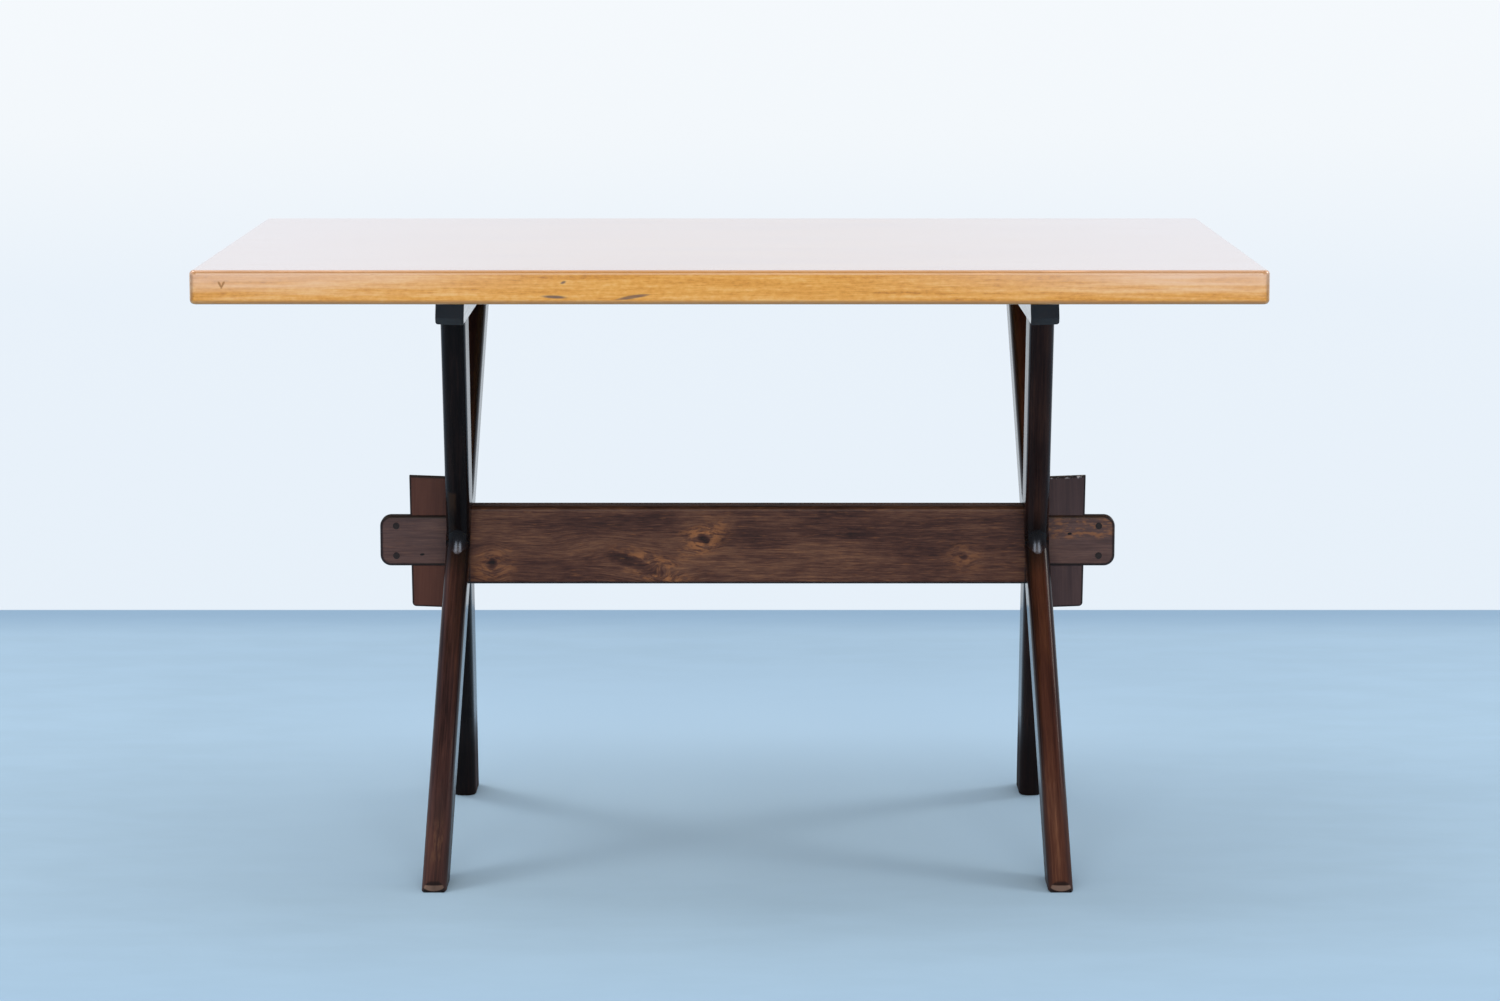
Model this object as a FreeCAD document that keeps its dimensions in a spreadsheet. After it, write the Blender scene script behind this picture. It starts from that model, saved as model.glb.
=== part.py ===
import FreeCAD, Part
import os
import re
import Sketcher

# Sawbuck table: a solid top screwed to two battens, each carried by a pair of crossed legs.
# A wedged through-tenon stretcher ties the two pairs together.
# Frame: X along the table, -Y the front, +Z up, origin on the floor under the middle of the top.

# Driving dimensions in millimetres and degrees.
SIZES = (
    ("top_length", 1190, "top, along X"),
    ("top_breadth", 750, "top, along Y"),
    ("top_thickness", 38, "top board thickness"),
    ("table_height", 720, "floor to the face of the top"),
    ("top_arris", 5, "rounding of the top's long edges"),
    ("top_corner", 8, "rounding of the top's upright corners"),
    ("board_count", 5, "boards glued edge to edge in the top"),
    ("base_offset", 19.5, "how far the base stands right of the top's middle"),
    ("trestle_spacing", 690, "between the two leg pairs, at the crossing"),
    ("lean_angle", 2.1, "inward lean of each leg pair"),
    ("crossing_height", 367.5, "floor to the middle of the crossing"),
    ("leg_angle", 35.6, "leg from upright, seen from the end"),
    ("leg_breadth", 62, "leg across its wide face"),
    ("leg_thickness", 28.5, "leg along X"),
    ("leg_arris", 11, "rounding of the leg's long edges"),
    ("toe_flat", 6, "upright facet on the sharp corner of the foot"),
    ("foot_bevel", 1.5, "bevel round the underside of the foot"),
    ("lap_clearance", 0.05, "each side of the halved crossing"),
    ("batten_end", 46, "batten past the head of each leg"),
    ("batten_width", 32, "batten, along X"),
    ("batten_depth", 32, "batten, under the top"),
    ("batten_arris", 3, "rounding of the batten's lower edges"),
    ("batten_bevel", 8, "bevel under each end of the batten"),
    ("stretcher_height", 94, "stretcher between its shoulders"),
    ("stretcher_thickness", 38, "stretcher along Y"),
    ("stretcher_arris", 6, "rounding of the stretcher's long edges"),
    ("tenon_drop", 5, "middle of the tenon below the middle of the crossing"),
    ("tenon_lift", 4, "middle of the tenon above the middle of the stretcher"),
    ("tenon_height", 61, "through tenon, along Z"),
    ("tenon_thickness", 17, "through tenon, along Y"),
    ("tenon_reach", 81, "tenon past the outer face of the legs"),
    ("tenon_corner", 13, "rounding of the tenon's end, seen from the front"),
    ("tenon_arris", 4, "rounding of the tenon's edges"),
    ("tenon_clearance", 0.2, "each side of the tenon in its mortise"),
    ("wedge_length", 158, "wedge, top to bottom"),
    ("wedge_rise", 71, "top of the wedge above the crossing"),
    ("wedge_top_width", 48, "wedge at its top"),
    ("wedge_foot_width", 40, "wedge at its bottom"),
    ("wedge_thickness", 10, "wedge along Y"),
    ("wedge_corner", 5, "rounding of the wedge's lower outer corner"),
    ("wedge_arris", 1.2, "rounding of the wedge's edges"),
    ("wedge_clearance", 0.15, "each side of the wedge"),
    ("slot_relief", 4, "slot reaches this far inside the leg's outer face"),
    ("peg_diameter", 8, "pegs across the tenon's end"),
    ("peg_inset", 19.5, "pegs from the tenon's end"),
    ("peg_spread", 36, "between the two pegs of a tenon"),
    ("peg_proud", 0.3, "pegs past each face of the tenon"),
    ("dowel_diameter", 10, "dowels between leg and batten"),
    ("dowel_length", 44, "dowel, half in each piece"),
    ("dowel_pitch", 26, "between the two dowels of a leg"),
    ("dowel_shift", 8, "dowels set in towards the middle of the table"),
    ("dowel_room", 1, "space past each end of a dowel"),
    ("dowel_clearance", 0.1, "around a dowel"),
    ("screw_diameter", 5, "wood screws up into the top"),
    ("screw_head", 9.5, "screw head across"),
    ("screw_length", 54, "screw, head to tip"),
    ("screw_slot", 1.2, "width of the slot in a screw's head"),
    ("screw_margin", 16, "screws from the head of a leg"),
    ("screw_clearance", 0.1, "around a screw"),
)

doc = FreeCAD.newDocument("sawbuck_table")
sheet = doc.addObject("Spreadsheet::Sheet", "Sizes")
for row, (alias, value, note) in enumerate(SIZES, start=1):
    sheet.set(f"A{row}", note)
    sheet.set(f"B{row}", str(value))
    sheet.setAlias(f"B{row}", alias)
doc.recompute()

ALIASES = {alias for alias, value, note in SIZES}

# Formulas that several pieces share. A leg pair has its own frame: origin at the crossing, z up its
# plane, x across it. There LEG_HALF is half a leg along Y, SEAT the underside of the batten and
# HEAD_Y the middle of a leg where it meets that underside.
LEG_HALF = "leg_breadth / 2 / cos(leg_angle)"
SEAT = "(table_height - top_thickness - batten_depth - crossing_height) / cos(lean_angle)"
FLOOR = "crossing_height / cos(lean_angle)"
HEAD_Y = f"({SEAT} * tan(leg_angle))"
BATTEN_HALF = f"({HEAD_Y} + {LEG_HALF} + batten_end)"
TENON_END = "(trestle_spacing / 2 + leg_thickness / 2 + tenon_reach)"
PEG_X = f"({TENON_END} - peg_inset)"
HEAD_DEPTH = "(screw_head - screw_diameter) / 2"

nodes = {}


def formula(text):
    """Put the sheet's name before each size that a formula names."""
    return re.sub(r"[a-z_]+", lambda word: f"Sizes.{word[0]}" if word[0] in ALIASES else word[0], text)


def bind(piece, **formulas):
    """Bind properties of a feature to formulas in the sheet's sizes."""
    for name, text in formulas.items():
        piece.setExpression(name, formula(text))


def keep(node, piece):
    """Name a finished piece and put it on the list to be written."""
    piece.Label = node
    nodes[node] = piece


def place(piece, x, y, z):
    """Place an upright piece by three formulas."""
    for axis, text in zip("xyz", (x, y, z)):
        piece.setExpression(f"Placement.Base.{axis}", formula(text))


def in_pair(side, x, z):
    """Formulas for a point (x, z) of a leg pair's frame, seen from the crossing's middle line."""
    world_x = f"{side} * trestle_spacing / 2 + ({x}) * cos(lean_angle) - {side} * ({z}) * sin(lean_angle)"
    world_z = f"{side} * ({x}) * sin(lean_angle) + ({z}) * cos(lean_angle)"
    return world_x, world_z


def place_in_pair(piece, side, y="0", z="0"):
    """Place a piece at (0, y, z) of a leg pair's frame, leaning with it."""
    world_x, world_z = in_pair(side, "0", z)
    inward = FreeCAD.Vector(0, -side, 0)
    piece.Placement = FreeCAD.Placement(FreeCAD.Vector(), FreeCAD.Rotation(inward, sheet.lean_angle))
    piece.setExpression("Placement.Rotation.Angle", formula("lean_angle"))
    place(piece, f"base_offset + {world_x}", y, f"crossing_height + {world_z}")


def new_body(name):
    return doc.addObject("PartDesign::Body", name)


def new_sketch(body, name, role, offset=None):
    """A sketch on one of the body's own planes, moved along the plane's normal by a formula."""
    sketch = body.newObject("Sketcher::SketchObject", name)
    plane = next(feature for feature in body.Origin.OriginFeatures if feature.Role == role)
    sketch.AttachmentSupport = [(plane, "")]
    sketch.MapMode = "FlatFace"
    if offset:
        sketch.setExpression("AttachmentOffset.Base.z", formula(offset))
    return sketch


def fix_point(sketch, geometry, end, x, y):
    """Hold one point of a sketch at two formulas measured from the sketch's origin."""
    for kind, text in (("DistanceX", x), ("DistanceY", y)):
        number = sketch.addConstraint(Sketcher.Constraint(kind, -1, 1, geometry, end, 1.0))
        sketch.setExpression(f"Constraints[{number}]", formula(text))


def draw_polygon(sketch, corners):
    """A closed outline whose corners are pairs of formulas."""
    first = sketch.GeometryCount
    count = len(corners)
    guess = [FreeCAD.Vector(index, index * index, 0) for index in range(count)]
    for index in range(count):
        sketch.addGeometry(Part.LineSegment(guess[index], guess[(index + 1) % count]))
    for index in range(count):
        following = first + (index + 1) % count
        sketch.addConstraint(Sketcher.Constraint("Coincident", first + index, 2, following, 1))
    for index, (x, y) in enumerate(corners):
        fix_point(sketch, first + index, 1, x, y)


def draw_circle(sketch, x, y, diameter):
    """A circle given by three formulas."""
    circle = sketch.addGeometry(Part.Circle(FreeCAD.Vector(), FreeCAD.Vector(0, 0, 1), 1.0))
    number = sketch.addConstraint(Sketcher.Constraint("Diameter", circle, 2.0))
    sketch.setExpression(f"Constraints[{number}]", formula(diameter))
    fix_point(sketch, circle, 3, x, y)


def rectangle(x0, y0, x1, y1):
    return [(x0, y0), (x1, y0), (x1, y1), (x0, y1)]


def pad(body, name, sketch, length, both=True, downward=False):
    """Raise a sketch evenly to both sides of its plane, or to one side."""
    feature = body.newObject("PartDesign::Pad", name)
    feature.Profile = sketch
    feature.Midplane = both
    feature.Reversed = downward
    bind(feature, Length=length)
    doc.recompute()
    return feature


def pocket(body, name, sketch, length=None, both=True, upward=False):
    """Cut a sketch through the body, or to a depth given by a formula."""
    before = body.Shape.Volume
    feature = body.newObject("PartDesign::Pocket", name)
    feature.Profile = sketch
    feature.Midplane = both
    feature.Reversed = upward
    if length:
        bind(feature, Length=length)
    else:
        feature.Type = "ThroughAll"
    doc.recompute()
    if body.Shape.Volume > before - 1e-3:
        raise RuntimeError(f"{body.Name}: {name} cuts nothing")
    return feature


def fillet(body, name, base, radius, wanted):
    """Round the edges of a feature whose edge passes the test."""
    edges = [f"Edge{index}" for index, edge in enumerate(base.Shape.Edges, start=1) if wanted(edge)]
    feature = body.newObject("PartDesign::Fillet", name)
    feature.Base = (base, edges)
    bind(feature, Radius=radius)
    doc.recompute()
    return feature


def along(edge, direction):
    """True for a straight edge along a direction."""
    if edge.Curve.TypeId != "Part::GeomLine":
        return False
    return abs(edge.Curve.Direction.dot(direction)) > 0.9999


X_AXIS = FreeCAD.Vector(1, 0, 0)
Y_AXIS = FreeCAD.Vector(0, 1, 0)
Z_AXIS = FreeCAD.Vector(0, 0, 1)


def leg_outline(foot, low, high, margin="0"):
    """A leg's outline in Y and Z. The foot is at the front for 1 and at the back for -1."""
    half = f"({LEG_HALF} + {margin})"
    return [
        (f"{foot} * ({low}) * tan(leg_angle) - {half}", low),
        (f"{foot} * ({low}) * tan(leg_angle) + {half}", low),
        (f"{foot} * ({high}) * tan(leg_angle) + {half}", high),
        (f"{foot} * ({high}) * tan(leg_angle) - {half}", high),
    ]


def dowel_places(foot):
    """Formulas for the Y of the two dowels in the head of a leg."""
    middle = f"{HEAD_Y} - dowel_shift"
    return [f"{foot} * ({middle} {step} dowel_pitch / 2)" for step in "-+"]


def make_leg(node, side, foot):
    """One leg: rounded bar, halved at the crossing, mortised for the stretcher, cut flat to the floor."""
    body = new_body(node + "_body")
    outline = new_sketch(body, "Outline", "YZ_Plane")
    draw_polygon(outline, leg_outline(foot, f"-1 * ({FLOOR} + leg_thickness)", SEAT))
    bar = pad(body, "Bar", outline, "leg_thickness")
    lengthwise = max(bar.Shape.Edges, key=lambda edge: edge.Length).Curve.Direction
    fillet(body, "Arris", bar, "leg_arris", lambda edge: along(edge, lengthwise))

    # The rounding stops at the crossing, where the half that stays is a square-edged block.
    crossing = new_sketch(body, "Crossing", "YZ_Plane")
    tall = f"{LEG_HALF} / tan(leg_angle)"
    draw_polygon(crossing, [(f"-1 * {LEG_HALF}", "0"), ("0", f"-1 * {tall}"), (LEG_HALF, "0"), ("0", tall)])
    outer_half = foot * side > 0
    pad(body, "Block", crossing, "leg_thickness / 2", both=False, downward=outer_half)

    lap = new_sketch(body, "Lap", "YZ_Plane")
    reach = "leg_breadth / sin(leg_angle)"
    draw_polygon(lap, leg_outline(-foot, f"-1 * {reach}", reach, "lap_clearance"))
    pocket(body, "Halving", lap, "leg_thickness", both=False, upward=outer_half)

    # The mortise follows the level stretcher, so it slants across the leaning leg.
    mortise = new_sketch(body, "Mortise", "XZ_Plane")
    half = "(tenon_height / 2 + tenon_clearance) / cos(lean_angle)"
    middle = "-1 * tenon_drop / cos(lean_angle)"
    slant = f"{side} * leg_thickness * tan(lean_angle)"
    draw_polygon(mortise, [
        ("-1 * leg_thickness", f"{middle} + {slant} - {half}"),
        ("leg_thickness", f"{middle} - {slant} - {half}"),
        ("leg_thickness", f"{middle} - {slant} + {half}"),
        ("-1 * leg_thickness", f"{middle} + {slant} + {half}"),
    ])
    pocket(body, "Mortised", mortise, "tenon_thickness + 2 * tenon_clearance")

    floor = new_sketch(body, "Floor", "XZ_Plane")
    rise = f"{side} * leg_thickness * tan(lean_angle)"
    deep = f"-1 * ({FLOOR} + 2 * leg_thickness)"
    draw_polygon(floor, [
        ("-1 * leg_thickness", deep),
        ("leg_thickness", deep),
        ("leg_thickness", f"-1 * {FLOOR} - {rise}"),
        ("-1 * leg_thickness", f"-1 * {FLOOR} + {rise}"),
    ])
    pocket(body, "FootCut", floor)

    toe = new_sketch(body, "Toe", "YZ_Plane")
    tip = f"({FLOOR} * tan(leg_angle) + {LEG_HALF})"
    draw_polygon(toe, rectangle(
        f"-{foot} * ({tip} - toe_flat)", f"-1 * ({FLOOR} + leg_thickness)",
        f"-{foot} * ({tip} + leg_breadth)", f"-1 * {FLOOR} + leg_breadth"))
    pocket(body, "ToeCut", toe)
    cut = body.Tip
    sole = min(cut.Shape.Faces, key=lambda face: face.CenterOfMass.z)
    bevel = body.newObject("PartDesign::Chamfer", "FootBevel")
    bevel.Base = (cut, [
        f"Edge{index}" for index, edge in enumerate(cut.Shape.Edges, start=1)
        if any(edge.isSame(rim) for rim in sole.Edges)
    ])
    bind(bevel, Size="foot_bevel")
    doc.recompute()

    heads = new_sketch(body, "Dowels", "XY_Plane", SEAT)
    for y in dowel_places(foot):
        draw_circle(heads, "0", y, "dowel_diameter + 2 * dowel_clearance")
    pocket(body, "DowelHoles", heads, "dowel_length / 2 + dowel_room", both=False)
    place_in_pair(body, side)
    keep(node, body)


def make_dowels(node, side, foot):
    """The two dowels that join the head of a leg to its batten."""
    pins = []
    for number, y in enumerate(dowel_places(foot), start=1):
        pin = doc.addObject("Part::Cylinder", f"{node}_{number}")
        bind(pin, Radius="dowel_diameter / 2", Height="dowel_length")
        place_in_pair(pin, side, y, f"{SEAT} - dowel_length / 2")
        pins.append(pin)
    group = doc.addObject("Part::Compound", node + "_group")
    group.Links = pins
    keep(node, group)


def screw_places():
    """Formulas for the Y of a batten's screws: the middle, and each side of both leg heads."""
    inner = f"({HEAD_Y} - {LEG_HALF} - screw_margin)"
    outer = f"({HEAD_Y} + {LEG_HALF} + screw_margin)"
    return [f"-1 * {outer}", f"-1 * {inner}", "0", inner, outer]


def make_batten(node, side):
    """A batten across the heads of two legs, its top face cut level under the table's top."""
    body = new_body(node + "_body")
    level = "(table_height - top_thickness - crossing_height) / cos(lean_angle)"
    rise = f"{side} * batten_width / 2 * tan(lean_angle)"
    section = new_sketch(body, "Section", "XZ_Plane")
    draw_polygon(section, [
        ("-1 * batten_width / 2", SEAT),
        ("batten_width / 2", SEAT),
        ("batten_width / 2", f"{level} - {rise}"),
        ("-1 * batten_width / 2", f"{level} + {rise}"),
    ])
    bar = pad(body, "Bar", section, f"2 * {BATTEN_HALF}")

    bevel = new_sketch(body, "Bevel", "YZ_Plane")
    for end in (-1, 1):
        draw_polygon(bevel, [
            (f"{end} * ({BATTEN_HALF} - batten_bevel)", SEAT),
            (f"{end} * ({BATTEN_HALF} + batten_bevel)", f"{SEAT} - batten_bevel"),
            (f"{end} * ({BATTEN_HALF} + batten_bevel)", f"{SEAT} + 2 * batten_bevel"),
        ])
    pocket(body, "EndBevels", bevel)
    low = bar.Shape.BoundBox.ZMin + 1e-3
    fillet(body, "Arris", body.Tip, "batten_arris",
           lambda edge: along(edge, Y_AXIS) and edge.BoundBox.ZMax < low)

    dowels = new_sketch(body, "Dowels", "XY_Plane", SEAT)
    for foot in (1, -1):
        for y in dowel_places(foot):
            draw_circle(dowels, "0", y, "dowel_diameter + 2 * dowel_clearance")
    pocket(body, "DowelHoles", dowels, "dowel_length / 2 + dowel_room", both=False, upward=True)

    shanks = new_sketch(body, "Shanks", "XY_Plane", SEAT)
    for y in screw_places():
        draw_circle(shanks, "0", y, "screw_diameter + 2 * screw_clearance")
    holes = pocket(body, "ScrewHoles", shanks, "2 * batten_depth", both=False, upward=True)
    rim = sheet.screw_diameter / 2 + sheet.screw_clearance
    sink = body.newObject("PartDesign::Chamfer", "Countersinks")
    sink.Base = (holes, [
        f"Edge{index}" for index, edge in enumerate(holes.Shape.Edges, start=1)
        if edge.Curve.TypeId == "Part::GeomCircle" and abs(edge.Curve.Radius - rim) < 1e-4
        and edge.BoundBox.ZMax < low
    ])
    bind(sink, Size=HEAD_DEPTH)
    doc.recompute()
    place_in_pair(body, side)
    keep(node, body)


def make_screw(name, side, y):
    """A slotted countersunk wood screw, its head flush with the batten's underside."""
    body = new_body(name)
    profile = new_sketch(body, "Profile", "XZ_Plane")
    draw_polygon(profile, [
        ("0", "0"),
        ("screw_head / 2", "0"),
        ("screw_diameter / 2", HEAD_DEPTH),
        ("screw_diameter / 2", "screw_length - 2 * screw_diameter"),
        ("0", "screw_length"),
    ])
    turned = body.newObject("PartDesign::Revolution", "Turned")
    turned.Profile = profile
    turned.ReferenceAxis = (profile, ["V_Axis"])
    doc.recompute()
    slot = new_sketch(body, "Slot", "XY_Plane")
    draw_polygon(slot, rectangle("-1 * screw_head", "-1 * screw_slot / 2", "screw_head", "screw_slot / 2"))
    pocket(body, "DriveSlot", slot, f"{HEAD_DEPTH} / 2", both=False, upward=True)
    place_in_pair(body, side, y, SEAT)
    return body


def make_screws(node, side):
    """The row of screws that holds the top to one batten."""
    group = doc.addObject("Part::Compound", node + "_group")
    group.Links = [make_screw(f"{node}_{number}", side, y) for number, y in enumerate(screw_places(), start=1)]
    keep(node, group)


def make_pilots():
    """The holes that the screws fill in the underside of the top."""
    holes = []
    for side in (-1, 1):
        for y in screw_places():
            hole = doc.addObject("Part::Cylinder", "Pilot")
            bind(hole, Radius="screw_diameter / 2 + screw_clearance", Height="screw_length + screw_clearance")
            place_in_pair(hole, side, y, SEAT)
            holes.append(hole)
    group = doc.addObject("Part::Compound", "Pilots")
    group.Links = holes
    doc.recompute()
    return group


def make_board(node, number, pilots):
    """One board of the top, rounded where it meets the outside of the top."""
    body = new_body(node + "_body")
    count = int(sheet.board_count)
    front = f"({number} / board_count - 1 / 2) * top_breadth"
    back = f"({number + 1} / board_count - 1 / 2) * top_breadth"
    section = new_sketch(body, "Section", "YZ_Plane")
    draw_polygon(section, rectangle(front, "table_height - top_thickness", back, "table_height"))
    plank = pad(body, "Plank", section, "top_length")

    outside = []
    if number == 0:
        outside.append(plank.Shape.BoundBox.YMin)
    if number == count - 1:
        outside.append(plank.Shape.BoundBox.YMax)

    def at_outside(edge):
        middle = edge.CenterOfMass.y
        return any(abs(middle - y) < 1e-3 for y in outside)

    if outside:
        plank = fillet(body, "Corners", plank, "top_corner", lambda edge: along(edge, Z_AXIS) and at_outside(edge))

    end = plank.Shape.BoundBox.XMax

    def outer_arris(edge):
        if edge.BoundBox.ZLength > 1e-3:
            return False
        at_end = along(edge, Y_AXIS) and abs(abs(edge.CenterOfMass.x) - end) < 1e-3
        return at_end or edge.Curve.TypeId == "Part::GeomCircle" or at_outside(edge)

    fillet(body, "Arris", plank, "top_arris", outer_arris)
    bored = doc.addObject("Part::Cut", node + "_bored")
    bored.Base = body
    bored.Tool = pilots
    doc.recompute()
    keep(node, bored)


def wedge_outline(side, inner, widen="0"):
    """A wedge's outline in its leg pair's frame, from an inner face given by a formula."""
    face = "leg_thickness / 2 + wedge_clearance"
    foot = "(wedge_rise - wedge_length)"
    return [
        (f"{side} * ({inner})", foot),
        (f"{side} * ({face} + wedge_foot_width + {widen})", foot),
        (f"{side} * ({face} + wedge_top_width + {widen})", "wedge_rise"),
        (f"{side} * ({inner})", "wedge_rise"),
    ]


def make_wedge(node, side):
    """The wedge that draws a leg pair tight against the stretcher's shoulder."""
    body = new_body(node + "_body")
    outline = new_sketch(body, "Outline", "XZ_Plane")
    draw_polygon(outline, wedge_outline(side, "leg_thickness / 2 + wedge_clearance"))
    blank = pad(body, "Blank", outline, "wedge_thickness")
    box = blank.Shape.BoundBox

    def lower_outer(edge):
        middle = edge.CenterOfMass
        return along(edge, Y_AXIS) and middle.z < box.Center.z and side * middle.x > abs(box.Center.x)

    corner = fillet(body, "Corner", blank, "wedge_corner", lower_outer)
    fillet(body, "Arris", corner, "wedge_arris", lambda edge: edge.BoundBox.YLength < 1e-3)
    place_in_pair(body, side)
    keep(node, body)


def make_stretcher(node):
    """The stretcher: a board with a through tenon on each end, slotted for the wedge."""
    body = new_body(node + "_body")
    shoulder = "trestle_spacing / 2 - leg_thickness / 2 / cos(lean_angle)"
    low = "(-1 * tenon_drop - tenon_lift - stretcher_height / 2)"
    high = "(-1 * tenon_drop - tenon_lift + stretcher_height / 2)"
    board = new_sketch(body, "Board", "XZ_Plane")
    draw_polygon(board, [
        (f"{low} * tan(lean_angle) - ({shoulder})", low),
        (f"{shoulder} - {low} * tan(lean_angle)", low),
        (f"{shoulder} - {high} * tan(lean_angle)", high),
        (f"{high} * tan(lean_angle) - ({shoulder})", high),
    ])
    blank = pad(body, "Blank", board, "stretcher_thickness")
    fillet(body, "Arris", blank, "stretcher_arris", lambda edge: along(edge, X_AXIS))

    tenon = new_sketch(body, "Tenon", "XZ_Plane")
    draw_polygon(tenon, rectangle(
        f"-1 * {TENON_END}", "-1 * tenon_drop - tenon_height / 2", TENON_END, "tenon_height / 2 - tenon_drop"))
    tenons = pad(body, "Tenons", tenon, "tenon_thickness")
    end = tenons.Shape.BoundBox.XMax
    corners = fillet(body, "TenonCorners", tenons, "tenon_corner",
                     lambda edge: along(edge, Y_AXIS) and abs(abs(edge.CenterOfMass.x) - end) < 1e-3)
    cheek = sheet.tenon_thickness / 2
    inside = blank.Shape.BoundBox.XMax

    def on_cheek(edge):
        flat = edge.BoundBox.YLength < 1e-3 and abs(abs(edge.CenterOfMass.y) - cheek) < 1e-3
        return flat and abs(edge.CenterOfMass.x) > inside

    fillet(body, "TenonArris", corners, "tenon_arris", on_cheek)

    slots = new_sketch(body, "Slots", "XZ_Plane")
    for side in (-1, 1):
        corners = wedge_outline(side, "leg_thickness / 2 - slot_relief", "wedge_clearance")
        draw_polygon(slots, [in_pair(side, x, z) for x, z in corners])
    pocket(body, "WedgeSlots", slots, "wedge_thickness + 2 * wedge_clearance")

    pegs = new_sketch(body, "Pegs", "XZ_Plane")
    for side in (-1, 1):
        for level in (-1, 1):
            height = f"{level} * peg_spread / 2 - tenon_drop"
            draw_circle(pegs, f"{side} * {PEG_X}", height, "peg_diameter + 2 * dowel_clearance")
    pocket(body, "PegHoles", pegs)
    place(body, "base_offset", "0", "crossing_height")
    keep(node, body)


def make_peg(node, side, level):
    """A peg across the end of a tenon that keeps it from splitting."""
    peg = doc.addObject("Part::Cylinder", node + "_pin")
    peg.Placement = FreeCAD.Placement(FreeCAD.Vector(), FreeCAD.Rotation(X_AXIS, -90))
    bind(peg, Radius="peg_diameter / 2", Height="tenon_thickness + 2 * peg_proud")
    place(peg, f"base_offset + {side} * {PEG_X}", "-1 * tenon_thickness / 2 - peg_proud",
          f"crossing_height - tenon_drop + {level} * peg_spread / 2")
    keep(node, peg)


pilots = make_pilots()
for number in range(int(sheet.board_count)):
    make_board(f"top_board_{number + 1}", number, pilots)

make_stretcher("stretcher")
for name, side in (("left", -1), ("right", 1)):
    make_batten(f"{name}_batten", side)
    make_screws(f"{name}_batten_screws", side)
    for end, foot in (("front", 1), ("back", -1)):
        make_leg(f"{name}_{end}_leg", side, foot)
        make_dowels(f"{name}_{end}_leg_dowels", side, foot)
    make_wedge(f"{name}_wedge", side)
    for height, level in (("lower", -1), ("upper", 1)):
        make_peg(f"{name}_{height}_peg", side, level)

doc.recompute()
for piece in doc.Objects:
    if "Invalid" in piece.State or "Error" in piece.State:
        raise RuntimeError(f"{piece.Label} failed: {piece.State}")
for node, piece in nodes.items():
    if piece.Shape.isNull() or not piece.Shape.isValid():
        raise RuntimeError(f"{node} has no valid shape")

os.makedirs("parts", exist_ok=True)
for node, piece in nodes.items():
    piece.Shape.exportStep(f"parts/{node}.step")
    box = piece.Shape.optimalBoundingBox()
    print(f"{node}: {len(piece.Shape.Solids)} solid(s), {piece.Shape.Volume / 1000:.1f} cm3,"
          f" x {box.XMin:.1f}..{box.XMax:.1f} y {box.YMin:.1f}..{box.YMax:.1f} z {box.ZMin:.1f}..{box.ZMax:.1f}")
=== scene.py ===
import math

import bmesh
import bpy
from mathutils import Matrix, Vector


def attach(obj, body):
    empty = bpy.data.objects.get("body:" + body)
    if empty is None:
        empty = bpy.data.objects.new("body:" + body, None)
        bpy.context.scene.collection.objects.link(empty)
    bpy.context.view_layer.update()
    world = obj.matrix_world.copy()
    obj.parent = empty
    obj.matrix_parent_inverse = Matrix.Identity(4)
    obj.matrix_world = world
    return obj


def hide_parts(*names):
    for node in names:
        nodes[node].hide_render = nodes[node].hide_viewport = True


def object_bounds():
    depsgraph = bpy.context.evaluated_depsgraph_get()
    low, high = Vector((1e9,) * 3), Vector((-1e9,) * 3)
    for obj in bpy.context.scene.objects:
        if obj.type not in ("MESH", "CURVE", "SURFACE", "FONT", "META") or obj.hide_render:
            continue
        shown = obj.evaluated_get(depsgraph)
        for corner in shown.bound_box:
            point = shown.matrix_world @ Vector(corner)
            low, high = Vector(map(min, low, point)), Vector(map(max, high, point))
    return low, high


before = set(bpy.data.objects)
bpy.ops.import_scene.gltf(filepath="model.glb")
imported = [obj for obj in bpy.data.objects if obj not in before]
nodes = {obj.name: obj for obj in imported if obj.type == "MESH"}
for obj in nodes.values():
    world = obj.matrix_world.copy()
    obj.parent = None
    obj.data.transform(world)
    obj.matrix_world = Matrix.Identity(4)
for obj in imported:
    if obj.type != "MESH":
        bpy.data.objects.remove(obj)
cad_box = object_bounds()

# Sizes of the table that its grain, wear and small parts are set out from, in metres and radians. The top is
# the longest, broadest and highest piece, so the box of the frame gives its half sizes and its face.
TOP_HALF_LENGTH, TOP_HALF_BREADTH, TOP_FACE = cad_box[1]
TOP_THICKNESS = 0.038
TOP_UNDERSIDE = TOP_FACE - TOP_THICKNESS
BOARD_COUNT = 5
BOARD_WIDTH = 2 * TOP_HALF_BREADTH / BOARD_COUNT
BASE_MIDDLE = 0.0195
CROSSING_HEIGHT = 0.3675
PAIR_HALF_SPACING = 0.345
PAIR_LEAN = math.radians(2.1)
LEG_SLANT = math.radians(35.6)
LEG_BREADTH = 0.062
LEG_HALF_THICKNESS = 0.01425
LEG_ARRIS = 0.011
BATTEN_DEPTH = 0.032
STRETCHER_HALF_THICKNESS = 0.019
SHOULDER = 0.3307
TENON_MIDDLE = 0.3625
TENON_END = 0.44025
TENON_HALF_HEIGHT = 0.0305
TENON_CORNER = 0.013
WEDGE_HEAD = 0.071
WEDGE_FOOT = -0.087
WEDGE_HEAD_WIDTH = 0.048
WEDGE_FOOT_WIDTH = 0.040
SCREW_MARGIN = 0.016
DOWEL_SHIFT = 0.008
DOWEL_PITCH = 0.026

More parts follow.
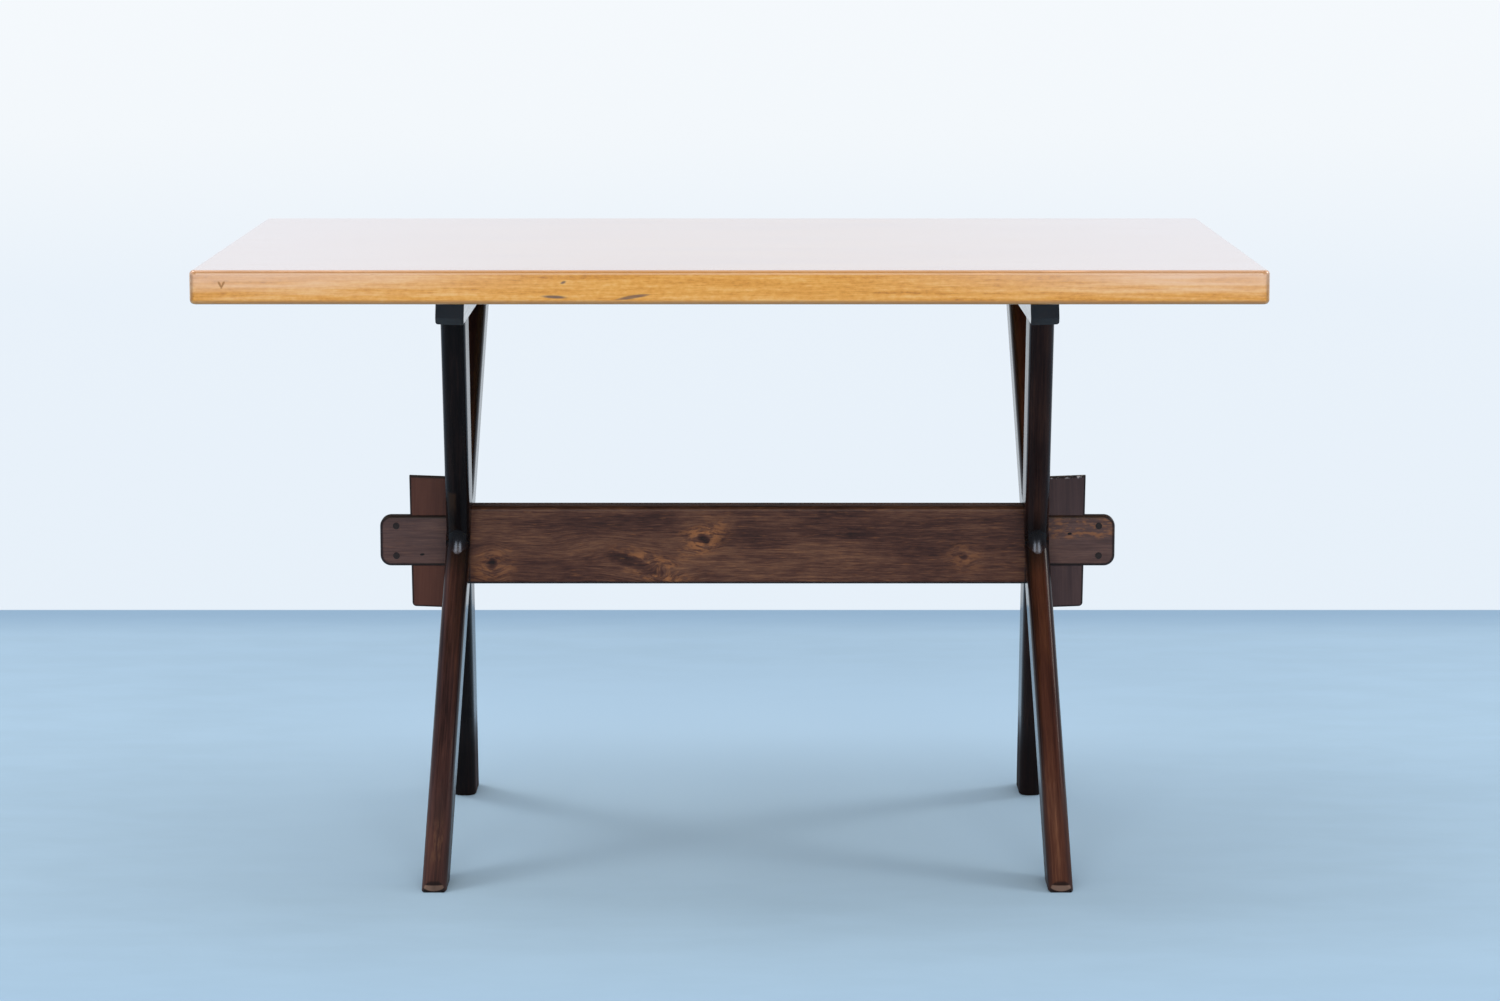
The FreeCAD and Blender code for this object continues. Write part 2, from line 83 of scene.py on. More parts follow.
# In the frame of a leg pair: the underside of the batten, half a leg along Y, the middle of a leg's head.
SEAT = (TOP_UNDERSIDE - BATTEN_DEPTH - CROSSING_HEIGHT) / math.cos(PAIR_LEAN)
LEG_HALF = LEG_BREADTH / 2 / math.cos(LEG_SLANT)
HEAD_Y = SEAT * math.tan(LEG_SLANT)

SIDES = {"left": -1, "right": 1}
FEET = {"front": 1, "back": -1}

# How far a shift moves a pattern aside for each step along the grain, and where in a ring its late wood
# rises and ends.
SHIFT_ASIDE = 1.7
LATE_WOOD = (0.25, 0.9)
RING_END = (1.0, 0.9)


def pair_point(side, height):
    """A point on the middle line of a leg pair, given by its height over the crossing along the pair."""
    return Vector((
        BASE_MIDDLE + side * (PAIR_HALF_SPACING - height * math.sin(PAIR_LEAN)),
        0.0,
        CROSSING_HEIGHT + height * math.cos(PAIR_LEAN),
    ))


def pair_up(side):
    return Vector((-side * math.sin(PAIR_LEAN), 0.0, math.cos(PAIR_LEAN)))


def pair_out(side):
    return Vector((side * math.cos(PAIR_LEAN), 0.0, math.sin(PAIR_LEAN)))


class Tree:
    """A node tree under way, with short ways to add nodes and to join them."""

    def __init__(self, tree):
        self.tree = tree
        tree.nodes.clear()

    def feed(self, socket, value):
        """Join a socket to another one, or set it to a plain value."""
        if isinstance(value, bpy.types.NodeSocket):
            self.tree.links.new(value, socket)
        elif socket.type == "RGBA":
            socket.default_value = (*value, 1.0)
        else:
            socket.default_value = value

    def add(self, kind, inputs=(), **settings):
        """Add a node, with its settings and a list of (input, value) pairs."""
        node = self.tree.nodes.new(kind)
        for name, value in settings.items():
            setattr(node, name, value)
        for name, value in inputs:
            self.feed(node.inputs[name], value)
        return node

    def calc(self, operation, *values):
        return self.add("ShaderNodeMath", enumerate(values), operation=operation).outputs[0]

    def join(self, x, y, z):
        return self.add("ShaderNodeCombineXYZ", enumerate((x, y, z))).outputs[0]

    def split(self, point):
        return self.add("ShaderNodeSeparateXYZ", ((0, point),)).outputs

    def off(self, value, middle):
        """How far a value is from a middle, either way."""
        return self.calc("ABSOLUTE", self.calc("SUBTRACT", value, middle))

    def length(self, across, up):
        """The length of a slanting line that goes so far across and so far up."""
        square = self.calc("ADD", self.calc("MULTIPLY", across, across), self.calc("MULTIPLY", up, up))
        return self.calc("SQRT", square)


class Finish(Tree):
    """The nodes of one finish, of the floor or of the room."""

    def __init__(self, holder):
        holder.use_nodes = True
        super().__init__(holder.node_tree)
        self.holder = holder

    def band(self, value, low, high):
        """Rise smoothly from 0 at low to 1 at high."""
        inputs = (("Value", value), ("From Min", low), ("From Max", high))
        return self.add("ShaderNodeMapRange", inputs, interpolation_type="SMOOTHSTEP").outputs[0]

    def span(self, share, low, high):
        """Go from low, where a share is 0, to high, where it is 1."""
        return self.calc("MULTIPLY_ADD", share, high - low, low)

    def noise(self, point, detail, roughness=0.5):
        inputs = (("Vector", point), ("Scale", 1.0), ("Detail", detail), ("Roughness", roughness))
        return self.add("ShaderNodeTexNoise", inputs).outputs[0]

    def stretch(self, point, along, across, shift=0.0):
        """Scale a point's grain axis and its two cross axes, so that a noise on it runs into streaks.

        A shift gives a piece another part of the noise.
        """
        inputs = ((0, point), (1, (along, across, across)), (2, (shift, SHIFT_ASIDE * shift, -shift)))
        return self.add("ShaderNodeVectorMath", inputs, operation="MULTIPLY_ADD").outputs[0]

    def mix(self, share, first, second):
        """Mix two colours. Their sockets come after those for numbers and vectors."""
        node = self.add("ShaderNodeMix", data_type="RGBA")
        for socket, value in zip((node.inputs[0], node.inputs[6], node.inputs[7]), (share, first, second)):
            self.feed(socket, value)
        return node.outputs[2]

    def ramp(self, value, stops):
        """A row of colours, each at its place between 0 and 1."""
        node = self.add("ShaderNodeValToRGB", (("Fac", value),))
        elements = node.color_ramp.elements
        while len(elements) < len(stops):
            elements.new(1.0)
        for element, (place, colour) in zip(elements, stops):
            element.position = place
            element.color = (*colour, 1.0)
        return node.outputs[0]

    def place(self):
        """Where a point of the piece is in the table's own frame."""
        return self.add("ShaderNodeTexCoord").outputs["Object"]

    def local(self, centre, grain, face):
        """A point in a piece's own frame: x with the grain, y across the breadth, z out of the face."""
        along = Vector(grain).normalized()
        out = Vector(face).normalized()
        across = out.cross(along)
        turn = Matrix((along, across, out)).transposed().to_euler()
        inputs = (("Vector", self.place()), ("Location", centre), ("Rotation", turn))
        return self.add("ShaderNodeMapping", inputs, vector_type="TEXTURE").outputs[0]

    def upward(self, low, high):
        """Rise from 0 to 1 as the upward part of the surface's normal goes from low to high."""
        normal = self.add("ShaderNodeNewGeometry").outputs["Normal"]
        return self.band(self.split(normal)[2], low, high)

    def blend(self, start, parts):
        """Add up (share, noise) parts, each counted from the middle of its noise."""
        total = start
        for share, value in parts:
            total = self.calc("MULTIPLY_ADD", self.calc("SUBTRACT", value, 0.5), share, total)
        return total

    def both(self, *shares):
        """The product of two or more shares."""
        total = shares[0]
        for share in shares[1:]:
            total = self.calc("MULTIPLY", total, share)
        return total

    def rings(self, y, z, drift, wander, ring_pitch):
        """Growth rings round a pith: 0 in the early wood of a ring, 1 in its late wood."""
        radius = self.calc("MULTIPLY_ADD", drift, wander, self.length(y, z))
        turn = self.calc("FRACT", self.calc("DIVIDE", radius, ring_pitch))
        return self.both(self.band(turn, *LATE_WOOD), self.band(turn, *RING_END))

    def relief(self, streaks, fibres):
        """The height of the grain: mostly its streaks, and less its fibres."""
        return self.blend(0.5, ((0.6, streaks), (0.4, fibres)))

    def dulled(self, smoothness, streaks, dust):
        """The roughness of a stained face: rougher along its streaks, and more so under dust."""
        clean = self.span(streaks, smoothness, smoothness + STREAK_DULLS)
        return self.calc("MULTIPLY_ADD", dust, DUST_DULLS, clean)

    def spot(self, across, up, middle, half, tilt, soft, ragged=None):
        """1 inside an ellipse on a face, 0 outside, with a soft rim that may be ragged too."""
        du = self.calc("SUBTRACT", across, middle[0])
        dv = self.calc("SUBTRACT", up, middle[1])
        cos, sin = math.cos(tilt), math.sin(tilt)
        along = self.calc("MULTIPLY_ADD", du, cos, self.calc("MULTIPLY", dv, sin))
        aside = self.calc("MULTIPLY_ADD", dv, cos, self.calc("MULTIPLY", du, -sin))
        reach = self.length(self.calc("DIVIDE", along, half[0]), self.calc("DIVIDE", aside, half[1]))
        if ragged is not None:
            reach = self.calc("ADD", reach, ragged)
        return self.band(reach, 1.0 + soft, 1.0 - soft)

    def varnish(self, colour, roughness, height, bump, depth, settings):
        """The shader of a finished surface. Settings are the values that are the same all over it."""
        shader = self.add("ShaderNodeBsdfPrincipled", settings.items())
        self.feed(shader.inputs["Base Color"], colour)
        self.feed(shader.inputs["Roughness"], roughness)
        lift = self.add("ShaderNodeBump", (("Strength", bump), ("Distance", depth), ("Height", height)))
        self.feed(shader.inputs["Normal"], lift.outputs[0])
        self.show(shader.outputs[0])
        return self.holder

    def show(self, surface, output="ShaderNodeOutputMaterial"):
        self.feed(self.add(output).inputs["Surface"], surface)


def new_finish(name):
    return Finish(bpy.data.materials.new(name))


# Clear varnish over pale boards

HONEY = (
    (0.1, (0.45, 0.155, 0.014)), (0.4, (0.73, 0.295, 0.028)), (0.62, (0.84, 0.375, 0.055)),
    (0.9, (0.92, 0.50, 0.14)),
)
# A painted sheen, pale and pinkish, on the front edge towards the ends.
PAINTED_SHEEN = (0.95, 0.625, 0.46)
HANDLED = (0.40, 0.165, 0.035)
CORNER_GRIME = (0.16, 0.075, 0.030)
UPPER_FACE_BROWN = (0.385, 0.235, 0.118)
BRUISE = (0.10, 0.07, 0.06)
DENT = (0.40, 0.165, 0.035)
TOP_VARNISH = {"Coat Weight": 1.0, "Coat Roughness": 0.10, "Coat IOR": 1.65, "IOR": 1.3}
RING_PITCH = 0.0075
RING_WANDER = 0.035
PITH_Y = (-0.06, 0.06)
PITH_Z = (TOP_UNDERSIDE - 0.01, TOP_UNDERSIDE - 0.10)
BOARD_SHIFT = 3.0
# The painted sheen: where it is centred, how much it lifts the tone at the ends and how much its upper line
# wavers.
SHEEN_MIDDLE = -0.01
SHEEN_LIFT = 0.14
SHEEN_WAVE = 0.03
# Painted light: how much the tone lifts towards the right end.
RIGHT_LIGHT_LIFT = 0.07
FACE_POLISH = 0.16

# Bands on the top, each from where it is 0 to where it is 1. Those of the rim, the corners and the inside
# count out from the edges, in metres, and that of the flat face goes by how far up a surface looks.
# The painted sheen rises towards the ends and up the front edge.
SHEEN_ENDS = (0.10, 0.62)
SHEEN_RISE = (TOP_UNDERSIDE + 0.002, TOP_FACE + 0.001)
HANDLED_RIM = (-0.0062, -0.003)
GRIMY_CORNERS = (-0.0065, -0.0035)
INSIDE = (-0.02, -0.03)
GLUE_LINE = (BOARD_WIDTH / 2 - 0.0006, BOARD_WIDTH / 2 - 0.0002)
FRONT_EDGE = (-TOP_HALF_BREADTH + 0.006, -TOP_HALF_BREADTH + 0.001)
FLAT_FACE = (0.8, 0.98)

# Each mark on the front edge: its middle along and up the edge, half sizes, tilt, strength and colour.
TOP_MARKS = (
    ((-0.1933, 0.6907), (0.013, 0.0016), -0.03, 0.85, BRUISE),
    ((-0.1070, 0.6905), (0.015, 0.0017), 0.14, 0.75, BRUISE),
    ((-0.1830, 0.7065), (0.0034, 0.0016), 0.35, 0.8, BRUISE),
    ((-0.5603, 0.7038), (0.0040, 0.0012), -1.1, 0.9, DENT),
    ((-0.5575, 0.7038), (0.0040, 0.0012), 1.1, 0.9, DENT),
)


def honey_top():
    """Five pale boards, each with rings and a tone of its own, under one coat of clear varnish."""
    finish = new_finish("honey_top")
    x, y, z = finish.split(finish.place())
    from_front = finish.calc("ADD", y, TOP_HALF_BREADTH)
    number = finish.calc("FLOOR", finish.calc("DIVIDE", from_front, BOARD_WIDTH))
    number = finish.calc("MINIMUM", finish.calc("MAXIMUM", number, 0.0), BOARD_COUNT - 1.0)
    chance = finish.add("ShaderNodeTexWhiteNoise", (("W", number),), noise_dimensions="1D")
    luck_x, luck_y, luck_z = finish.split(chance.outputs["Color"])
    board_middle = finish.calc("MULTIPLY_ADD", number, BOARD_WIDTH, BOARD_WIDTH / 2 - TOP_HALF_BREADTH)
    board_x = finish.calc("MULTIPLY_ADD", luck_x, BOARD_SHIFT, x)
    board_y = finish.calc("SUBTRACT", y, board_middle)
    point = finish.join(board_x, board_y, z)

    drift = finish.noise(finish.stretch(point, 1.3, 8.0), 3.0)
    from_pith_y = finish.calc("SUBTRACT", board_y, finish.span(luck_y, *PITH_Y))
    from_pith_z = finish.calc("SUBTRACT", z, finish.span(luck_z, *PITH_Z))
    late = finish.rings(from_pith_y, from_pith_z, drift, RING_WANDER, RING_PITCH)
    streaks = finish.noise(finish.stretch(point, 9.0, 230.0), 4.0, 0.62)
    fibres = finish.noise(finish.stretch(point, 40.0, 1400.0), 2.0)
    clouds = finish.noise(finish.stretch(point, 3.2, 24.0, 4.0), 3.0)
    mottle = finish.noise(finish.stretch(point, 130.0, 280.0, 7.0), 4.0, 0.65)
    parts = ((1.1, streaks), (1.1, clouds), (0.7, fibres), (0.9, mottle), (-0.09, late), (0.08, luck_z))

    # Painted sheen: the wood is painted paler towards both ends, most of all along the upper edge.
    end_share = finish.band(finish.off(x, SHEEN_MIDDLE), *SHEEN_ENDS)
    tone = finish.calc("MULTIPLY_ADD", end_share, SHEEN_LIFT, finish.blend(0.52, parts))
    # Painted light: the tone rises towards the right end.
    tone = finish.calc("MULTIPLY_ADD", x, RIGHT_LIGHT_LIFT, tone)
    colour = finish.ramp(tone, HONEY)
    patchy = finish.span(clouds, 0.35, 1.25)
    wavy = finish.blend(z, ((SHEEN_WAVE, streaks),))
    sheen = finish.both(end_share, patchy, finish.band(wavy, *SHEEN_RISE))
    colour = finish.mix(sheen, colour, PAINTED_SHEEN)

    # Handling has darkened the rounded edges, and grime the corners.
    past_end = finish.calc("SUBTRACT", finish.calc("ABSOLUTE", x), TOP_HALF_LENGTH)
    past_side = finish.calc("SUBTRACT", finish.calc("ABSOLUTE", y), TOP_HALF_BREADTH)
    past_face = finish.calc("SUBTRACT", finish.off(z, TOP_FACE - TOP_THICKNESS / 2), TOP_THICKNESS / 2)
    rim = finish.calc("ADD", finish.calc("MAXIMUM", past_end, past_side), past_face)
    handled = finish.both(finish.band(rim, *HANDLED_RIM), finish.band(streaks, 0.2, 0.5), 0.8)
    colour = finish.mix(handled, colour, HANDLED)
    corner = finish.band(finish.calc("ADD", past_end, past_side), *GRIMY_CORNERS)
    colour = finish.mix(finish.both(corner, 0.75), colour, CORNER_GRIME)

    # The upward faces are mixed in patches towards a darker brown, and fine dark lines part the boards.
    flat = finish.upward(*FLAT_FACE)
    colour = finish.mix(finish.both(flat, finish.span(mottle, 0.2, 0.7)), colour, UPPER_FACE_BROWN)
    glue = finish.band(finish.calc("ABSOLUTE", board_y), *GLUE_LINE)
    inside = finish.band(past_side, *INSIDE)
    colour = finish.mix(finish.both(glue, inside, 0.35), colour, HANDLED)

    # A few old marks on the front edge.
    on_front = finish.band(y, *FRONT_EDGE)
    ragged = finish.span(streaks, -0.8, 0.8)
    for middle, half, tilt, strength, shade in TOP_MARKS:
        mark = finish.spot(x, z, middle, half, tilt, 0.4, ragged)
        colour = finish.mix(finish.both(mark, on_front, strength), colour, shade)

    edge_roughness = finish.span(streaks, 0.28, 0.44)
    roughness = finish.calc("MULTIPLY_ADD", flat, -FACE_POLISH, edge_roughness)
    height = finish.relief(streaks, fibres)
    return finish.varnish(colour, roughness, height, bump=0.12, depth=0.0006, settings=TOP_VARNISH)


# Dark stain

WALNUT_STAIN = (
    (0.0, (0.014, 0.0055, 0.0045)), (0.3, (0.050, 0.0165, 0.0115)), (0.5, (0.087, 0.0325, 0.020)),
    (0.7, (0.130, 0.055, 0.0315)), (1.0, (0.24, 0.105, 0.05)),
)
WEDGE_STAIN = (
    (0.0, (0.028, 0.0105, 0.008)), (0.35, (0.088, 0.0290, 0.018)), (0.65, (0.124, 0.0435, 0.027)),
    (1.0, (0.20, 0.09, 0.05)),
)
GREYED_STAIN = (
    (0.0, (0.018, 0.011, 0.012)), (0.35, (0.060, 0.0335, 0.034)), (0.65, (0.092, 0.051, 0.049)),
    (1.0, (0.15, 0.09, 0.08)),
)
COFFEE_STAIN = (
    (0.0, (0.011, 0.0052, 0.0050)), (0.35, (0.045, 0.0185, 0.0155)), (0.65, (0.079, 0.0310, 0.0235)),
    (1.0, (0.145, 0.064, 0.040)),
)
RED_STAIN = (
    (0.0, (0.012, 0.0045, 0.0035)), (0.35, (0.047, 0.0145, 0.0086)), (0.65, (0.077, 0.0255, 0.0140)),
    (1.0, (0.15, 0.06, 0.032)),
)
# Black stain of the battens, and also the painted shade on the faces of the left legs that look down.
BLACK_STAIN_AND_SHADE = (
    (0.0, (0.0022, 0.0016, 0.0017)), (0.5, (0.0076, 0.0050, 0.0050)), (1.0, (0.024, 0.012, 0.010)),
)
# Painted shade on the faces of the right legs that look down.
REDDISH_SHADE = (
    (0.0, (0.003, 0.0018, 0.0018)), (0.5, (0.0205, 0.0088, 0.0075)), (1.0, (0.050, 0.021, 0.014)),
)
RUBBED_BROWN = (0.052, 0.025, 0.013)
WORN_GREY = (0.132, 0.077, 0.070)
SHADED_GREY = (0.086, 0.048, 0.044)
WORN_ORANGE = (0.34, 0.132, 0.047)
# Old grime, and also the painted shade in the crossings, on rounded edges, on down-facing parts and under
# the top.
GRIME_AND_SHADE = (0.006, 0.004, 0.004)
PIN_HOLE = (0.004, 0.003, 0.003)
BARE_TOE = (0.22, 0.135, 0.10)
SCUFFED = (0.12, 0.056, 0.032)
CHIPPED = (0.55, 0.50, 0.50)

GLOSS_VARNISH = {"Coat Weight": 0.2, "Coat Roughness": 0.06, "Coat IOR": 1.4, "IOR": 1.2}
BATTEN_VARNISH = {"Coat Weight": 0.6, "Coat Roughness": 0.15, "Coat IOR": 1.45, "IOR": 1.3}
SATIN_VARNISH = {"Coat Weight": 0.0, "IOR": 1.3}
THIN_VARNISH = {"Coat Weight": 0.0, "IOR": 1.16}
HEAVY_VARNISH = {"Coat Weight": 0.0, "IOR": 1.25}
POLISHED = 0.05
WAXED = 0.12
RUBBED = 0.2
SATIN = 0.22
STREAK_DULLS = 0.3
DUST_DULLS = 0.5
TOE_SWELL = 25.0

# Bands of stain, wear and painted shade, each from where it is 0 to where it is 1. The first three go by how
# far up a
# surface looks. The others are in metres: x, y and level in the table's frame, up a leg or a wedge from the
# crossing, out from the middle of a leg's thickness, or in from the edges of a wedge.
UPPER_SIDE = (-0.35, 0.35)
DUSTY = (0.75, 0.95)
STRETCHER_DUST = (0.6, 0.9)
LEFT_LEGS = (0.1, 0.0)
RIGHT_LEGS = (0.0, 0.1)
DULL_LEVEL = (0.13, 0.05)
EDGE_OUT = (0.0075, 0.0125)
EDGE_LEVEL = (0.05, 0.16)
OUTER_HALF = (-0.002, 0.002)
INNER_HALF = (0.003, -0.005)
OVER_SHIN = (-0.28, -0.10)
SCUFF_TOP = (0.09, 0.05)
SCUFF_FOOT = (0.02, 0.04)
SCUFF_OUT = (0.009, 0.005)
DARK_HEAD = (0.08, 0.2)
DARK_FOOT = (-0.10, -0.25)
TOE_FRONT = (-0.2915, -0.2935)
FACET_FOOT = (0.0012, 0.0026)
FACET_TOP = (0.0090, 0.0078)
FACET_OUT = (0.0130, 0.0105)
RUB_TOP = (0.102, 0.096)
RUB_FOOT = (0.030, 0.045)
RUB_INNER = (-0.001, 0.003)
RUB_OUTER = (0.013, 0.008)
VALLEY = (0.080, 0.035)
HOLLOW_FOOT = (-0.018, 0.0)
WEDGE_EDGE = (0.0028, 0.0012)
CHIPPED_HEAD = (WEDGE_HEAD - 0.0035, WEDGE_HEAD - 0.0015)


def stain(name, axes, stops, settings, smoothness, shift, contrast, wear=None, under=None):
    """A dark stained piece: fine streaks along its grain, dull where dust lies on it and near the floor.

    A piece may have a second, darker row of colours for the faces that look down: painted shade.
    """
    finish = new_finish(name)
    local = finish.local(*axes)
    streaks = finish.noise(finish.stretch(local, 12.0, 420.0, shift), 4.0, 0.62)
    fibres = finish.noise(finish.stretch(local, 55.0, 1600.0, shift), 2.0)
    bands = finish.noise(finish.stretch(local, 3.2, 60.0, shift + 5.0), 3.0)
    clouds = finish.noise(finish.stretch(local, 9.0, 30.0, shift + 9.0), 3.0)
    parts = [(contrast * share, noise)
             for share, noise in ((0.9, streaks), (0.9, bands), (0.7, clouds), (0.4, fibres))]
    tone = finish.blend(0.5, parts)
    colour = finish.ramp(tone, stops)
    # Painted shade: faces that look down take the darker row of colours.
    if under:
        colour = finish.mix(finish.upward(*UPPER_SIDE), finish.ramp(tone, under), colour)
    if wear:
        colour = wear(finish, finish.split(local), colour, clouds)
    level = finish.split(finish.place())[2]
    dull = finish.calc("MAXIMUM", finish.upward(*DUSTY), finish.band(level, *DULL_LEVEL))
    roughness = finish.dulled(smoothness, streaks, dull)
    height = finish.relief(streaks, fibres)
    return finish.varnish(colour, roughness, height, bump=0.12, depth=0.0005, settings=settings)


def front_leg_wear(finish, local, colour, clouds):
    """Painted shade on the rounded edges, and a bare toe. The left leg has lost stain at its shin and its
    head is painted dark as the shadow of the top.
    """
    x, y, z = finish.split(finish.place())
    along, _, out = local
    aside = finish.calc("ABSOLUTE", out)
    on_left = finish.band(x, *LEFT_LEGS)

    # Painted shade on the rounded edges, less of it near the floor and on the outer edge of the left leg.
    outer = finish.both(finish.band(out, *OUTER_HALF), on_left)
    kept = finish.span(finish.band(z, *EDGE_LEVEL), 0.25, 1.0)
    edge_share = finish.span(outer, 0.8, 0.35)
    colour = finish.mix(finish.both(finish.band(aside, *EDGE_OUT), edge_share, kept), colour, GRIME_AND_SHADE)

    # On the left leg: a darker inner half over the shin, scuffs close to the floor and a head painted dark
    # as the shadow of the top.
    over_shin = finish.both(finish.band(along, *OVER_SHIN), finish.band(out, *INNER_HALF), on_left, 0.45)
    colour = finish.mix(over_shin, colour, GRIME_AND_SHADE)
    specks = finish.noise(finish.stretch(finish.join(*local), 60.0, 320.0, 3.0), 4.0, 0.65)
    low = finish.both(finish.band(z, *SCUFF_TOP), finish.band(z, *SCUFF_FOOT), on_left)
    scuffs = finish.both(low, finish.band(aside, *SCUFF_OUT), finish.band(specks, 0.42, 0.64), 0.6)
    colour = finish.mix(scuffs, colour, SCUFFED)
    # Painted shadow of the top on the head of the left leg.
    colour = finish.mix(finish.both(finish.band(along, *DARK_HEAD), on_left, 0.6), colour, GRIME_AND_SHADE)
    # Painted shade in the crease of the crossing.
    colour = valley_shade(finish, along, colour)

    # The toe is dark, apart from a facet that has lost most of its stain. Its lower line rises to the sides.
    toe = finish.band(y, *TOE_FRONT)
    colour = finish.mix(finish.both(toe, 0.8), colour, GRIME_AND_SHADE)
    swell = finish.calc("MULTIPLY", finish.calc("MULTIPLY", aside, aside), TOE_SWELL)
    level = finish.calc("SUBTRACT", z, swell)
    facet = finish.both(finish.band(level, *FACET_FOOT), finish.band(z, *FACET_TOP), toe)
    bare = finish.both(facet, finish.band(aside, *FACET_OUT), finish.band(clouds, 0.15, 0.5), 0.8)
    return finish.mix(bare, colour, BARE_TOE)


def back_leg_rub(finish, local, colour, clouds):
    """The left leg is rubbed to brown just over the crossing, on its outer half. The right foot is dark."""
    along, _, out = local
    # Painted shade in the crease of the crossing.
    colour = valley_shade(finish, along, colour)
    reach = finish.both(finish.band(along, *RUB_TOP), finish.band(along, *RUB_FOOT))
    rubbed = finish.both(reach, finish.band(out, *RUB_INNER), finish.band(out, *RUB_OUTER), 0.75)
    x = finish.split(finish.place())[0]
    rubbed = finish.both(rubbed, finish.band(x, *LEFT_LEGS), finish.band(clouds, 0.3, 0.6))
    colour = finish.mix(rubbed, colour, RUBBED_BROWN)
    dark_foot = finish.both(finish.band(along, *DARK_FOOT), finish.band(x, *RIGHT_LEGS), 0.5)
    return finish.mix(dark_foot, colour, GRIME_AND_SHADE)


def valley_shade(finish, along, colour):
    """Painted shade in the crease where two legs cross, thinning out along both of them."""
    near = finish.band(finish.calc("ABSOLUTE", along), *VALLEY)
    return finish.mix(finish.both(near, 0.8), colour, GRIME_AND_SHADE)


def shaded_hollow(finish, local, colour, clouds):
    """The filling of a crossing is painted with shade, most of all from its middle up, and shows more stain
    towards its foot.
    """
    share = finish.span(finish.band(local[0], *HOLLOW_FOOT), 0.65, 0.95)
    return finish.mix(share, colour, GRIME_AND_SHADE)


def wedge_rim(finish, local, colour, clouds):
    """The edges of a wedge are darker. Its width grows from foot to head."""
    along, across, _ = local
    share = finish.calc("DIVIDE", finish.calc("SUBTRACT", along, WEDGE_FOOT), WEDGE_HEAD - WEDGE_FOOT)
    width = finish.span(share, WEDGE_FOOT_WIDTH, WEDGE_HEAD_WIDTH)
    outer_edge = finish.calc("ADD", width, LEG_HALF_THICKNESS)
    outer = finish.calc("SUBTRACT", outer_edge, finish.calc("ABSOLUTE", across))
    top = finish.calc("SUBTRACT", WEDGE_HEAD, along)
    foot = finish.calc("SUBTRACT", along, WEDGE_FOOT)
    inside = finish.calc("MINIMUM", outer, finish.calc("MINIMUM", top, foot))
    return finish.mix(finish.both(finish.band(inside, *WEDGE_EDGE), 0.85), colour, GRIME_AND_SHADE)


def chipped_wedge(finish, local, colour, clouds):
    """The right wedge, with small chips in the stain along its head."""
    colour = wedge_rim(finish, local, colour, clouds)
    chips = finish.noise(finish.stretch(finish.join(*local), 300.0, 260.0, 2.0), 3.0, 0.6)
    head = finish.band(local[0], *CHIPPED_HEAD)
    return finish.mix(finish.both(head, finish.band(chips, 0.54, 0.62), 0.8), colour, CHIPPED)


# Each knot and fleck on the stretcher: its middle along and up the face, its half sizes, its tilt, and how
# dark the knot or how bright the fleck is. A pin hole has only its middle and its half sizes.
KNOTS = (
    ((-0.0331, 0.3664), (0.0070, 0.0042), -0.35, 0.55),
    ((-0.1173, 0.3370), (0.0270, 0.0058), -0.36, 0.36),
    ((-0.0815, 0.3268), (0.0060, 0.0036), 0.2, 0.2),
    ((-0.2856, 0.3370), (0.0060, 0.0052), 0.0, 0.5),
    ((0.2782, 0.3448), (0.0048, 0.0036), 0.3, 0.25),
)
FLECKS = (
    ((-0.0331, 0.3664), (0.026, 0.014), 0.5, 1.0),
    ((-0.0900, 0.3290), (0.036, 0.014), -0.40, 1.0),
    ((-0.2856, 0.3340), (0.022, 0.016), 0.2, 0.6),
    ((0.2782, 0.3448), (0.018, 0.014), 0.0, 0.4),
)
PIN_HOLES = (((-0.3703, 0.3460), (0.0026, 0.0013)), ((0.4054, 0.3711), (0.0026, 0.0015)))

# A knot draws in the grain over so many times its half sizes, by so large a share.
PULL_REACH = (2.2, 3.4)
PULL_SHARE = 0.6

# Bands on the stretcher and its tenons, each from where it is 0 to where it is 1, in metres.
TENON_START = (SHOULDER, SHOULDER + 0.002)
TENON_RIM = (TENON_CORNER - 0.0045, TENON_CORNER - 0.0022)
TORN_RIGHT = (0.37, 0.38)
TORN_RISE = (TENON_MIDDLE, TENON_MIDDLE + 0.006)
BOARD_RIM = (STRETCHER_HALF_THICKNESS - 0.0003, STRETCHER_HALF_THICKNESS - 0.0014)
BOARD_RISE = (0.33, 0.39)


